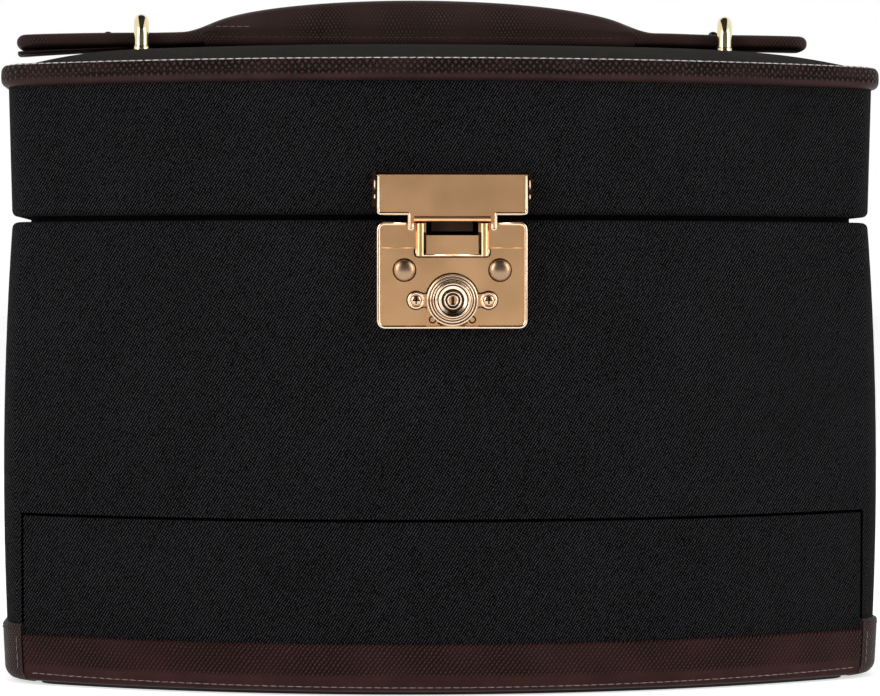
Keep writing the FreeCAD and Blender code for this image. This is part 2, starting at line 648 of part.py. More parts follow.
def hinge_leaf(name, centre, direction, own):
    """Leaf with its knuckles: direction -1 hangs on the body, +1 stands on the lid."""
    reach = D.knuckle_radius + D.leaf_room
    near, far = hinge_z + reach * direction, hinge_z + D.leaf_long * direction
    ends, arm = ((far, near), (near, hinge_z)) if direction < 0 else ((near, far), (hinge_z, near))
    faces = (D.back_reach, D.back_reach + D.leaf_thick)
    pieces = [box(name + "_plate", (centre - D.hinge_half, centre + D.hinge_half), faces, ends)]
    for slot in own:
        low = centre - D.hinge_half + knuckle_pitch * float(slot) + D.knuckle_gap * 0.5
        width = knuckle_pitch - D.knuckle_gap
        pieces.append(box("%s_arm%d" % (name, slot), (low, low + width), faces, arm))
        start = (low, hinge_y, hinge_z)
        pieces.append(rod("%s_knuckle%d" % (name, slot), "x", start, D.knuckle_radius, width))
    bore_half = D.hinge_half + OVER
    bore_start = (centre - bore_half, hinge_y, hinge_z)
    bore = rod(name + "_bore", "x", bore_start, D.pin_radius + D.pin_clear, bore_half * 2.0)
    return cut(name, fuse(name + "_solid", *pieces), bore)


def hinge_screws(name, centre, direction):
    level = hinge_z + D.hinge_screw_drop * direction
    leaf_face = D.back_reach + D.leaf_thick
    return [dome("%s_%d" % (name, i), "y", (centre + D.hinge_screw_pitch * step, leaf_face, level),
                 D.hinge_screw_rise, D.hinge_screw_radius, D.hinge_screw_radius)
            for i, step in enumerate(HINGE_SCREWS)]


body_screws, lid_screws = [], []
for side, sign in SIDES:
    centre = D.hinge_x * sign
    own_body, own_lid = range(0, HINGE_KNUCKLES, 2), range(1, HINGE_KNUCKLES, 2)
    node("hinge_leaf_body_" + side, hinge_leaf("hinge_leaf_body_" + side, centre, -1.0, own_body))
    node("hinge_leaf_lid_" + side, hinge_leaf("hinge_leaf_lid_" + side, centre, 1.0, own_lid))
    pin_start = (centre - D.hinge_half, hinge_y, hinge_z)
    node("hinge_pin_" + side, rod("hinge_pin_" + side, "x", pin_start, D.pin_radius, D.hinge_half * 2.0))
    body_screws += hinge_screws("body_screw_" + side, centre, -1.0)
    lid_screws += hinge_screws("lid_screw_" + side, centre, 1.0)
node("hinge_screws_body", group("hinge_screws_body", *body_screws))
node("hinge_screws_lid", group("hinge_screws_lid", *lid_screws))

# Lock on the body

plate = body("plate_blank")
plate_sketch = sketch(plate, "plate_face", "XZ", -lock_face)
rectangle(plate_sketch, (-D.plate_half, D.plate_half), (plate_foot, plate_top))
plate_pad = pad(plate, "plate_pad", plate_sketch, D.plate_deep, True)
plate_corners = round_edges(plate, "plate_corners", plate_pad, runs_along("y"), D.plate_corner)
round_edges(plate, "plate_rim", plate_corners, depth_edge(lock_face.value), D.plate_round)
hump_foot = plate_top - D.hump_drop
ridges = [rod("ridge_" + side, "z", (D.ridge_x * sign, lock_face, hump_foot), D.ridge_radius,
              D.hump_drop - D.ridge_drop) for side, sign in SIDES]
panel = box("lock_panel", (-D.panel_half, D.panel_half), (lock_face - D.panel_rise, lock_face + D.panel_rise),
            (hump_foot, panel_top))
button_bore = rod("button_bore", "y", (CENTRE, -FAR, key_z), D.button_radius + D.button_clear, FAR)
flange_start = (CENTRE, lock_face + D.flange_set, key_z)
flange_bore = rod("flange_bore", "y", flange_start, D.flange_radius + D.button_clear, FAR)
plate_raised = fuse("plate_raised", plate, panel, *ridges)
node("lock_plate", cut("lock_plate", plate_raised, case_block, throat, button_bore, flange_bore, bolt_way))

rivets = [dome("rivet_" + side, "-y", (D.rivet_x * sign, lock_face, plate_top - D.rivet_drop), D.rivet_rise,
               D.rivet_radius, D.rivet_radius) for side, sign in SIDES]
node("lock_rivets", group("lock_rivets", *rivets))

scutcheon = []
for i in range(SCUTCHEON_RINGS):
    radius = D.scutcheon_radius - D.scutcheon_step * float(i)
    thick = D.scutcheon_thick + D.scutcheon_rise * float(i)
    scutcheon.append(rod("scutcheon_ring%d" % i, "-y", (CENTRE, lock_face, key_z), radius, thick))
ear_face = lock_face - D.ear_thick
ear_depth = (ear_face, lock_face)
bridge_in = D.scutcheon_radius - D.bridge_lap
for side, sign in SIDES:
    ear_seat = (D.ear_x * sign, lock_face, key_z)
    scutcheon.append(rod("scutcheon_ear_" + side, "-y", ear_seat, D.ear_radius, D.ear_thick))
    bridge = (-D.ear_x, -bridge_in) if sign < 0 else (bridge_in, D.ear_x)
    scutcheon.append(box("scutcheon_bridge_" + side, bridge, ear_depth,
                         (key_z - D.bridge_half, key_z + D.bridge_half)))
    tab = D.foot_tab_x * sign
    scutcheon.append(box("scutcheon_tab_" + side, (tab - D.foot_tab_half, tab + D.foot_tab_half), ear_depth,
                         (key_z - D.foot_tab_drop, key_z)))
node("lock_scutcheon", cut("lock_scutcheon", fuse("scutcheon_solid", *scutcheon), button_bore))
screws = [dome("ear_screw_" + side, "-y", (D.ear_x * sign, ear_face, key_z), D.screw_rise, D.screw_radius,
               D.screw_radius) for side, sign in SIDES]
node("scutcheon_screws", group("scutcheon_screws", *screws))

button_face = lock_face - D.button_proud
button_back = button_face + D.button_long
plug_bore = rod("plug_bore", "y", (CENTRE, -FAR, key_z), D.plug_radius + D.plug_clear, FAR)
dish = DOC.addObject("Part::Cone", "button_dish")
dish.Placement = Placement(Vector(), TURNS["y"])
bind(dish, "Radius1", D.dish_radius)
bind(dish, "Radius2", D.plug_radius)
bind(dish, "Height", D.dish_deep)
place(dish, CENTRE, button_face, key_z)
button_rod = rod("button_rod", "y", (CENTRE, button_face, key_z), D.button_radius, D.button_long)
flange_seat = (CENTRE, button_back - D.flange_thick, key_z)
button_flange = rod("button_flange", "y", flange_seat, D.flange_radius, D.flange_thick)
node("lock_button", cut("lock_button", fuse("button_solid", button_rod, button_flange), plug_bore, dish))
plug_face = button_face + D.plug_sink
keyway = box("keyway", (-D.keyway_half, D.keyway_half), (-FAR, plug_face + D.keyway_deep),
             (key_z - D.keyway_high, key_z + D.keyway_high))
plug_rod = rod("plug_rod", "y", (CENTRE, plug_face, key_z), D.plug_radius, button_back - plug_face)
node("key_plug", cut("key_plug", plug_rod, keyway))

case_front, case_back = D.case_step - D.case_reach, wall_inner_y - D.case_gap
room_half = D.case_half - D.case_thick
lock_block = box("lock_block", (-D.case_half, D.case_half), (case_front, case_back), (case_foot, case_top))
lock_room = box("lock_room", (-room_half, room_half), (-FAR, case_back - D.case_thick),
                (case_foot + D.case_thick, case_top - D.case_thick))
node("lock_case", cut("lock_case", lock_block, lock_room, bolt_way))
bolt = box("lock_bolt", (-D.bolt_half, D.bolt_half), (bolt_front_y, bolt_back_y), (bolt_foot, panel_top))
node("lock_bolt", bolt)

# Hasp on the lid

hasp_foot = lid_foot - D.hasp_lap
hasp_top = hasp_foot + D.hasp_height
hasp_face = -(D.case_reach + D.hasp_stand)
hasp_inner = hasp_face + D.hasp_thick
pin_y = -(D.case_reach + D.hasp_pin_out)
pin_z = hasp_top - D.hasp_pin_drop
mount_front = -(D.case_reach + D.mount_stand)
mount_foot, mount_top = lid_foot + D.mount_lift, hasp_top + D.mount_over
ear_in = D.hasp_half + D.mount_ear_gap
ear_out = ear_in + D.mount_ear_wall
mount = [box("hasp_back", (-ear_out, ear_out), (mount_front, mount_front + OVER), (mount_foot, mount_top))]
for side, limits in (("left", (-ear_out, -ear_in)), ("right", (ear_in, ear_out))):
    mount.append(box("hasp_ear_" + side, limits, (pin_y - D.mount_ear_nose, mount_front + D.mount_stand),
                     (mount_foot + D.mount_ear_lift, mount_top)))
pin_hole = rod("hasp_pin_hole", "x", (-FAR, pin_y, pin_z), D.hasp_pin_radius + D.hasp_pin_clear, FAR * 2.0)
node("hasp_base", cut("hasp_base", fuse("hasp_base_solid", *mount), lid_block, pin_hole))
pin_half = ear_out + D.hasp_pin_end
node("hasp_pin", rod("hasp_pin", "x", (-pin_half, pin_y, pin_z), D.hasp_pin_radius, pin_half * 2.0))

tongue_foot, lug_foot = plate_top + D.tongue_gap, plate_top - D.lug_drop
lug_in = D.tongue_half - D.lug_wide
hasp = body("hasp_blank")
hasp_sketch = sketch(hasp, "hasp_face", "XZ", -hasp_face)
draw_loop(hasp_sketch, [(-D.hasp_half, hasp_top), (D.hasp_half, hasp_top), (D.hasp_half, hasp_foot),
                        (D.tongue_half, hasp_foot), (D.tongue_half, lug_foot), (lug_in, lug_foot),
                        (lug_in, tongue_foot), (-lug_in, tongue_foot), (-lug_in, lug_foot),
                        (-D.tongue_half, lug_foot), (-D.tongue_half, hasp_foot), (-D.hasp_half, hasp_foot)])
hasp_pad = pad(hasp, "hasp_pad", hasp_sketch, D.hasp_thick, True)
hasp_edge, hasp_low = D.hasp_half.value, hasp_foot.value


def hasp_lower_corner(edge):
    start = edge.Vertexes[0]
    at_corner = abs(abs(start.X) - hasp_edge) < EDGE_TOLERANCE and abs(start.Z - hasp_low) < EDGE_TOLERANCE
    return at_corner and runs_along("y")(edge)


round_edges(hasp, "hasp_corners", hasp_pad, hasp_lower_corner, D.hasp_corner)
flange_in = D.hasp_half - D.flange_wall
flanges = [box("hasp_flange_" + side, limits, (hasp_face + D.flange_tuck, pin_y + D.flange_back),
               (hasp_foot + D.hasp_corner, pin_z + D.flange_over))
           for side, limits in (("left", (-D.hasp_half, -flange_in)), ("right", (flange_in, D.hasp_half)))]
hasp_lip = rod("hasp_lip", "x", (-lug_in, hasp_face, tongue_foot + D.lip_radius), D.lip_radius, lug_in * 2.0)
node("hasp", cut("hasp", fuse("hasp_solid", hasp, hasp_lip, *flanges), pin_hole))

eye_front, eye_back = bolt_front_y - D.eye_room, bolt_back_y + D.eye_room
staple_foot = plate_top - D.staple_drop
staple_width = (-D.staple_half, D.staple_half)
staple_front = hasp_inner + D.staple_tuck
staple_arm = box("staple_arm", staple_width, (staple_front, eye_back + D.staple_back),
                 (staple_foot, staple_foot + D.staple_thick))
staple_web = box("staple_web", staple_width, (hasp_inner, hasp_inner + D.staple_thick),
                 (tongue_foot, tongue_foot + D.staple_web))
staple_post = box("staple_post", staple_width, (staple_front, hasp_inner + D.staple_thick),
                  (staple_foot, tongue_foot))
staple_eye = box("staple_eye", (-D.eye_half, D.eye_half), (eye_front, eye_back),
                 (staple_foot - OVER, staple_foot + OVER))
node("hasp_staple", cut("hasp_staple", fuse("staple_solid", staple_arm, staple_web, staple_post), staple_eye))

# Handle: wire loops in the lid, and a strap that runs through them

strap_level = lid_top + D.pad_rise + D.strap_rest
strap_top = strap_level + D.strap_thick
loop_bar = strap_top + D.loop_over + D.loop_radius
loop_spring, loop_turn = loop_bar - D.loop_bend, leg_y - D.loop_bend
for side, sign in SIDES:
    owner = body("loop_" + side)
    path = sketch(owner, "loop_path_" + side, "YZ", D.loop_x * sign)
    leg, foot, bar, spring, turn = (item.value for item in (leg_y, lid_top, loop_bar, loop_spring, loop_turn))
    bend = D.loop_bend.value
    path.addGeometry([
        Part.LineSegment(Vector(-leg, foot, 0), Vector(-leg, spring, 0)),
        Part.ArcOfCircle(Part.Circle(Vector(-turn, spring, 0), Vector(0, 0, 1), bend), math.pi / 2, math.pi),
        Part.LineSegment(Vector(-turn, bar, 0), Vector(turn, bar, 0)),
        Part.ArcOfCircle(Part.Circle(Vector(turn, spring, 0), Vector(0, 0, 1), bend), 0, math.pi / 2),
        Part.LineSegment(Vector(leg, spring, 0), Vector(leg, foot, 0))], False)
    rule = Sketcher.Constraint
    path.addConstraint([rule("Tangent", 0, 2, 1, 2), rule("Tangent", 1, 1, 2, 1), rule("Tangent", 2, 2, 3, 2),
                        rule("Tangent", 3, 1, 4, 1)])
    path.addConstraint([rule("Vertical", 0), rule("Vertical", 4), rule("Horizontal", 2)])
    fix(path, "leg_front", rule("DistanceX", 0, 1, -1, 1, leg), leg_y)
    fix(path, "leg_back", rule("DistanceX", -1, 1, 4, 2, leg), leg_y)
    fix(path, "foot_front", rule("DistanceY", -1, 1, 0, 1, foot), lid_top)
    fix(path, "foot_back", rule("DistanceY", -1, 1, 4, 2, foot), lid_top)
    fix(path, "crossbar", rule("DistanceY", -1, 1, 2, 1, bar), loop_bar)
    fix(path, "bend_front", rule("Radius", 1, bend), D.loop_bend)
    fix(path, "bend_back", rule("Radius", 3, bend), D.loop_bend)
    wire = sketch(owner, "loop_wire_" + side, "XY", lid_top)
    wire_x = D.loop_x * sign
    wire.addGeometry(Part.Circle(Vector(wire_x.value, -leg, 0), Vector(0, 0, 1), D.loop_radius.value), False)
    fix(wire, "wire", rule("Radius", 0, D.loop_radius.value), D.loop_radius)
    fix(wire, "wire_x", rule("DistanceX", -1, 1, 0, 3, wire_x.value), wire_x)
    fix(wire, "wire_y", rule("DistanceY", 0, 3, -1, 1, leg), leg_y)
    sweep = owner.newObject("PartDesign::AdditivePipe", "loop_sweep_" + side)
    sweep.Profile = wire
    sweep.Spine = (path, [])
    node("handle_loop_" + side, owner)


def strap(name, left, right, low, high, half_width, outer=None):
    """Flat strap between two x limits, with rounded corners at its outer end if it has one."""
    owner = body(name)
    profile = sketch(owner, name + "_profile", "XY", low)
    rectangle(profile, (left, right), (-half_width, half_width))
    block = pad(owner, name + "_pad", profile, high - low)
    if outer is None:
        return owner, block
    end_x = outer.value

    def end_corner(edge):
        return runs_along("z")(edge) and lies_at(edge.BoundBox.XMin, edge.BoundBox.XMax, end_x)

    return owner, round_edges(owner, name + "_corners", block, end_corner, D.strap_end)


def leather(name, left, right, outer=None):
    """Length of the handle's strap with its long edges rounded over."""
    owner, block = strap(name, left, right, strap_level, strap_top, D.strap_half_width, outer)
    inner_ends = [item.value for item in (left, right) if item is not outer]

    def rim(edge):
        across = any(lies_at(edge.BoundBox.XMin, edge.BoundBox.XMax, x) for x in inner_ends)
        return not across and level_edge(strap_level.value, strap_top.value)(edge)

    round_edges(owner, name + "_edges", block, rim, D.strap_round)
    return owner


def stud(name, x):
    return dome(name, "z", (x, CENTRE, strap_top), D.stud_rise, D.stud_radius, D.stud_radius)


grip_left, grip_right = D.strap_middle - D.grip_half_long, D.strap_middle + D.grip_half_long
tail_in = D.loop_x + D.bend_end
left_end, right_end = -(tail_in + D.tail_left_long), tail_in + D.tail_right_long
node("handle_strap", leather("handle_strap", grip_left, grip_right))
grip = dome("handle_grip", "z", (D.strap_middle, CENTRE, strap_top), D.grip_rise, D.grip_half_long,
            D.grip_half_width)
node("handle_grip", grip)
node("strap_bend_left", leather("strap_bend_left", -tail_in + D.tail_gap, grip_left - D.tail_gap))
bend_right = leather("bend_right", grip_right + D.tail_gap, tail_in - D.tail_gap)
node("strap_bend_right", fuse("strap_bend_right", bend_right, stud("stud_right", D.loop_x - D.stud_right_in)))
tail_left = leather("tail_left", left_end, -tail_in, left_end)
node("strap_tail_left", fuse("strap_tail_left", tail_left, stud("stud_left", -(D.loop_x + D.stud_left_out))))
node("strap_tail_right", leather("strap_tail_right", tail_in, right_end, right_end))
flap_end = left_end + D.flap_set
flap = strap("strap_flap", flap_end, flap_end + D.flap_long, strap_level - D.flap_thick, strap_level,
             D.strap_half_width - D.strap_round, flap_end)[0]
node("strap_flap", flap)

# Export

DOC.recompute()
faults = []
for item in DOC.Objects:
    if "Invalid" in item.State or "Error" in item.State:
        faults.append("%s: %s" % (item.Name, item.State))
for name, item in NODES:
    if item.Shape.isNull() or not item.Shape.isValid() or item.Shape.Volume <= 0:
        faults.append("%s: shape" % name)
if faults:
    raise RuntimeError("; ".join(faults))
for name, item in NODES:
    item.Shape.exportStep(os.path.join("parts", name + ".step"))
print("exported %d parts" % len(NODES))
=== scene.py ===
import math
import bpy
import numpy as np
from mathutils import Matrix, Vector


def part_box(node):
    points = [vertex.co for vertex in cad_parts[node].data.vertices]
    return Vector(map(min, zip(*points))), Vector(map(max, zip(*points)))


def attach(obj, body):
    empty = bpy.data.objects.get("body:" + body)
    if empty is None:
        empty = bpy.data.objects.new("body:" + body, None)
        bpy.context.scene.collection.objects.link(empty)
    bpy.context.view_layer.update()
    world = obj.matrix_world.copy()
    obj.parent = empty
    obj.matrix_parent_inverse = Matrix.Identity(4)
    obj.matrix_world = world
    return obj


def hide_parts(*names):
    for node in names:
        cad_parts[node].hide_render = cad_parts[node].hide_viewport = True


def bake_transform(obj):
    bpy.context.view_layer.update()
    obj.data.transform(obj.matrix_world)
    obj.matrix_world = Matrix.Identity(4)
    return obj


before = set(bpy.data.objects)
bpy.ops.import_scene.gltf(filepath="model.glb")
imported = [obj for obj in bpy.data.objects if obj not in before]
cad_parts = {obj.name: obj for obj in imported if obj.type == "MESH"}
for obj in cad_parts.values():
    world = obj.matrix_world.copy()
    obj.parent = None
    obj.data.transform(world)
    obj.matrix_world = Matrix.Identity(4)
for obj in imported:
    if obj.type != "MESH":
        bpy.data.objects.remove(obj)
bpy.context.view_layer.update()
MM = 0.001
QUARTER = math.pi / 2
SHAKE = np.random.default_rng(11)


def add(name, data):
    """A new object in the scene, at the origin, for a mesh, a light or a camera."""
    item = bpy.data.objects.new(name, data)
    bpy.context.scene.collection.objects.link(item)
    return item


# Camera, at the place and turn that the photograph was taken from
EYE = (-67.7, -1268.5, 149.6)
EYE_TURN, EYE_DIP = 0.05505, 0.02124
LENS, SENSOR = 131.7, 36.0
NEAREST, FARTHEST = 0.05, 100.0


def set_camera():
    """Stands the camera at the eye point, turned right and dipped by two small angles."""
    level = math.cos(EYE_DIP)
    ahead = Vector((math.sin(EYE_TURN) * level, math.cos(EYE_TURN) * level, -math.sin(EYE_DIP)))
    right = Vector((math.cos(EYE_TURN), -math.sin(EYE_TURN), 0.0))
    above = right.cross(ahead)
    data = bpy.data.cameras.new("front_camera")
    data.lens = LENS
    data.sensor_width = SENSOR
    data.clip_start, data.clip_end = NEAREST, FARTHEST
    camera = add("front_camera", data)
    turn = Matrix((right, above, -ahead)).transposed().to_4x4()
    camera.matrix_world = Matrix.Translation(Vector(EYE) * MM) @ turn
    bpy.context.scene.camera = camera


set_camera()


# Node helpers for the finishes

def feed(tree, item, inputs):
    """Sets a node's inputs, each to a number or to what it is joined to."""
    for key, value in inputs.items():
        if isinstance(value, bpy.types.Node):
            value = value.outputs[0]
        if isinstance(value, bpy.types.NodeSocket):
            tree.links.new(value, item.inputs[key])
        else:
            item.inputs[key].default_value = value


def put(tree, kind, inputs, **options):
    """Adds one node with its options and its inputs."""
    item = tree.nodes.new("ShaderNode" + kind)
    for key, value in options.items():
        setattr(item, key, value)
    feed(tree, item, inputs)
    return item


def sums(tree, operation, first, second=0.0, third=0.0):
    """One step of arithmetic on up to three numbers or nodes."""
    return put(tree, "Math", {0: first, 1: second, 2: third}, operation=operation)


def ramp(tree, factor, *stops):
    """Colour that runs through the stops, each a place from 0 to 1 and a colour."""
    item = put(tree, "ValToRGB", {0: factor})
    marks = item.color_ramp.elements
    while len(marks) < len(stops):
        marks.new(0.5)
    for mark, (place, colour) in zip(marks, stops):
        mark.position = place
        mark.color = (*colour, 1.0)
    return item


def spread(tree, value, low, high, to_low=0.0, to_high=1.0):
    """Moves a value from one range straight to another, held at its ends."""
    return put(tree, "MapRange", {0: value, 1: low, 2: high, 3: to_low, 4: to_high})


def wave(tree, value, pitch):
    """Swings between 0 and 1 once in each pitch."""
    turns = sums(tree, "MULTIPLY", value, 2 * math.pi / pitch)
    return sums(tree, "MULTIPLY_ADD", sums(tree, "SINE", turns), 0.5, 0.5)


def speckle(tree, place, scale, detail=3.0):
    """Cloudy noise from 0 to 1, finer as the scale grows."""
    return put(tree, "TexNoise", {"Vector": place, "Scale": scale, "Detail": detail})


def relief(tree, height, depth, strength=1.0, under=None):
    """Small dents by a height, on top of another relief where one is given."""
    inputs = {"Height": height, "Distance": depth, "Strength": strength}
    if under is not None:
        inputs["Normal"] = under
    return put(tree, "Bump", inputs)


def finish(name):
    """A new material, its tree of nodes and its shader."""
    item = bpy.data.materials.new(name)
    item.use_nodes = True
    return item, item.node_tree, item.node_tree.nodes["Principled BSDF"]


def object_place(tree):
    """Place on the piece, in its own frame."""
    return put(tree, "TexCoord", {}).outputs["Object"]


def parts_of(tree, place):
    """The three lengths of a place or a direction."""
    return put(tree, "SeparateXYZ", {0: place}).outputs


def away_from(tree, value, length):
    """How far a value lies from a length, whichever side it is on."""
    return sums(tree, "ABSOLUTE", sums(tree, "SUBTRACT", value, length))


TOP_FACING = 0.72


def cloth_place(tree):
    """Two lengths across the nearest wall: along and up it, or across and back on a top."""
    source = put(tree, "TexCoord", {})
    spot = parts_of(tree, source.outputs["Object"])
    facing = [sums(tree, "ABSOLUTE", part) for part in parts_of(tree, source.outputs["Normal"])]
    flat = sums(tree, "GREATER_THAN", facing[2], TOP_FACING)
    upright = sums(tree, "SUBTRACT", 1.0, flat)
    side = sums(tree, "MULTIPLY", sums(tree, "GREATER_THAN", facing[0], facing[1]), upright)
    front = sums(tree, "SUBTRACT", 1.0, side)
    along = sums(tree, "ADD", sums(tree, "MULTIPLY", spot[0], front), sums(tree, "MULTIPLY", spot[1], side))
    up = sums(tree, "ADD", sums(tree, "MULTIPLY", spot[2], upright), sums(tree, "MULTIPLY", spot[1], flat))
    return source.outputs["Object"], along, up


def slanted(tree, along, up, degrees):
    """Distance across lines that lean from the ground by an angle."""
    lean = math.radians(degrees)
    return sums(tree, "SUBTRACT", sums(tree, "MULTIPLY", along, math.sin(lean)),
                sums(tree, "MULTIPLY", up, math.cos(lean)))


# Finishes: noise scales count grains to the metre, colours are linear

TWILL_PITCH, YARN_PITCH = 0.89 * MM, 0.94 * MM
RIB_LEAN, YARN_LEAN = 58.0, -32.0
TWILL_DARK, TWILL_LIGHT = 0.0003, 0.046
GROOVE_LEAN = 54.0
SLOT_HALF, SLOT_REACH = 0.27 * MM, 1.35 * MM
# colour painted in the screws' cross slots as the shade inside them
SLOT_SHADE = (0.03, 0.018, 0.012, 1.0)
TAUPE = ((0.055, 0.036, 0.029), (0.1, 0.07, 0.058))
# black painted on the body lining's top as the shade in the lid's seam, and the height it fades over
SEAM_SHADE_BLACK = (0.0012, 0.0011, 0.0013)
SEAM_SHADE_FADE = 0.3


def twill_cloth(name, shade, tint):
    """Fine black twill: raised diagonal ribs cut into yarns, with a dull nap."""
    item, tree, shader = finish(name)
    place, along, up = cloth_place(tree)
    wander = sums(tree, "MULTIPLY", speckle(tree, place, 240.0), 0.5 * MM)
    ribs = wave(tree, sums(tree, "ADD", slanted(tree, along, up, RIB_LEAN), wander), TWILL_PITCH)
    yarns = wave(tree, slanted(tree, along, up, YARN_LEAN), YARN_PITCH)
    weave = sums(tree, "MULTIPLY", ribs, sums(tree, "MULTIPLY_ADD", yarns, 0.4, 0.6))
    rub = spread(tree, speckle(tree, place, 34.0, 5.0), 0.3, 0.75, 0.95, 1.06)
    fleck = spread(tree, speckle(tree, place, 1500.0, 1.0), 0.2, 0.8, 0.5, 1.5)
    tone = sums(tree, "MULTIPLY", sums(tree, "MULTIPLY", weave, rub), fleck)
    dark, light = ([level * shade * part for part in tint] for level in (TWILL_DARK, TWILL_LIGHT))
    feed(tree, shader, {
        "Base Color": ramp(tree, tone, (0.36, dark), (0.98, light)),
        "Normal": relief(tree, weave, 0.16 * MM, 0.8),
        "Roughness": 0.8, "Specular IOR Level": 0.025, "Sheen Weight": 0.01,
        "Sheen Roughness": 0.4, "Sheen Tint": (0.7, 0.7, 0.75, 1.0)})
    return item


def embossed_leather(name, dark, light, emboss=1.0, wear=(0.45, 1.0), plain=None, pitch=1.2,
                     shine=0.1, cross=1.0):
    """Brown leather pressed with diamonds between crossing grooves, its pattern fading out downwards
    between two levels where they are given; the diamonds are painted lighter and the grooves darker as
    highlight and shade, over a mottled tone."""
    item, tree, shader = finish(name)
    span = put(tree, "UVMap", {}, uv_map="span")
    spot = parts_of(tree, span)
    wander = sums(tree, "MULTIPLY", speckle(tree, span, 170.0), 0.9 * pitch * MM)
    sides = []
    for lean in (GROOVE_LEAN, -GROOVE_LEAN):
        across = sums(tree, "ADD", slanted(tree, spot[0], spot[1], lean), wander)
        sides.append(sums(tree, "POWER", wave(tree, across, pitch * MM), 0.95))
    fainter = sums(tree, "MULTIPLY_ADD", sides[1], cross, 1.0 - cross)
    diamonds = sums(tree, "MINIMUM", sides[0], fainter)
    worn = spread(tree, speckle(tree, span, 45.0, 4.0), 0.38, 0.6, *wear)
    if plain is not None:
        level = parts_of(tree, object_place(tree))[2]
        worn = sums(tree, "MULTIPLY", worn, spread(tree, level, plain[0] * MM, plain[1] * MM))
    press = sums(tree, "MULTIPLY_ADD", sums(tree, "SUBTRACT", diamonds, 0.5), worn, 0.5)
    cloud = sums(tree, "MULTIPLY_ADD", speckle(tree, span, 90.0, 5.0), 0.5, -0.25)
    # colour tone: the pressed pattern, painted light on the diamonds and dark in the grooves as highlight
    # and shade, plus mottling
    tone = sums(tree, "ADD", sums(tree, "MULTIPLY_ADD", press, 1.2, -0.1), cloud)
    pores = relief(tree, speckle(tree, span, 2200.0, 2.0), 0.03 * MM, 0.5)
    feed(tree, shader, {
        "Base Color": ramp(tree, tone, (0.08, dark), (1.0, light)),
        "Roughness": spread(tree, tone, 0.1, 0.9, 0.58, 0.4),
        "Normal": relief(tree, press, 0.42 * pitch * MM * emboss, 1.0, pores),
        "Specular IOR Level": shine})
    return item


def thread(name, dark, light):
    """Sewing thread with fine fuzz."""
    item, tree, shader = finish(name)
    fuzz = speckle(tree, object_place(tree), 900.0, 2.0)
    feed(tree, shader, {
        "Base Color": ramp(tree, fuzz, (0.3, dark), (0.7, light)),
        "Normal": relief(tree, fuzz, 0.05 * MM, 0.6),
        "Roughness": 0.8, "Specular IOR Level": 0.2, "Sheen Weight": 0.2})
    return item


def polished_metal(name, low, high, rough, screws=None):
    """Plated metal with faint rubbing, a little dulled in patches, and cross slots where screws are, at a
    distance either side of the middle and a level, painted dark inside as shade and sunk by a bump."""
    item, tree, shader = finish(name)
    place = object_place(tree)
    cloudy = speckle(tree, place, 70.0, 5.0)
    stretch = put(tree, "Mapping", {"Vector": place, "Scale": (1.0, 1.0, 9.0)})
    colour = ramp(tree, cloudy, (0.3, low), (0.7, high))
    bump = relief(tree, speckle(tree, stretch, 420.0, 2.0), 0.002 * MM, 0.1)
    if screws is not None:
        spot = parts_of(tree, place)
        across = away_from(tree, sums(tree, "ABSOLUTE", spot[0]), screws[0] * MM)
        above = away_from(tree, spot[2], screws[1] * MM)
        thin = sums(tree, "LESS_THAN", sums(tree, "MINIMUM", across, above), SLOT_HALF)
        near = sums(tree, "LESS_THAN", sums(tree, "MAXIMUM", across, above), SLOT_REACH)
        slot = sums(tree, "MULTIPLY", thin, near)
        colour = put(tree, "MixRGB", {0: slot, 1: colour, 2: SLOT_SHADE})
        bump = relief(tree, sums(tree, "SUBTRACT", 1.0, slot), 0.3 * MM, 1.0, bump)
    feed(tree, shader, {
        "Base Color": colour, "Normal": bump, "Metallic": 1.0,
        "Roughness": spread(tree, cloudy, 0.25, 0.75, rough - 0.03, rough + 0.04)})
    return item


def suede(name, dark, light, nap=0.35, shade_above=None):
    """Brushed lining with a soft cloudy nap, painted black above a level as the shade in the lid's seam."""
    item, tree, shader = finish(name)
    place = object_place(tree)
    cloud = speckle(tree, place, 45.0, 6.0)
    fibre = speckle(tree, place, 1800.0, 2.0)
    tone = sums(tree, "MULTIPLY_ADD", fibre, 0.4, sums(tree, "MULTIPLY", cloud, 0.6))
    stops = [(0.3, dark), (0.7, light)]
    if shade_above is not None:
        level = parts_of(tree, place)[2]
        unshaded = spread(tree, level, shade_above * MM, (shade_above + SEAM_SHADE_FADE) * MM, 1.0, 0.0)
        tone = sums(tree, "MULTIPLY", tone, unshaded)
        stops.insert(0, (0.0, SEAM_SHADE_BLACK))
    feed(tree, shader, {
        "Base Color": ramp(tree, tone, *stops),
        "Normal": relief(tree, fibre, 0.08 * MM, 0.6),
        "Roughness": 0.95, "Specular IOR Level": 0.15, "Sheen Weight": nap,
        "Sheen Roughness": 0.5})
    return item


def grained_board(name, dark, light, rough, scale=700.0):
    """Papered board or moulding with a fine pebbled skin."""
    item, tree, shader = finish(name)
    place = object_place(tree)
    pebble = put(tree, "TexVoronoi", {"Vector": place, "Scale": scale})
    cloud = speckle(tree, place, 60.0, 4.0)
    feed(tree, shader, {
        "Base Color": ramp(tree, cloud, (0.3, dark), (0.7, light)),
        "Roughness": spread(tree, cloud, 0.3, 0.7, rough - 0.06, rough + 0.06),
        "Normal": relief(tree, pebble, 0.06 * MM, 0.5),
        "Specular IOR Level": 0.3})
    return item


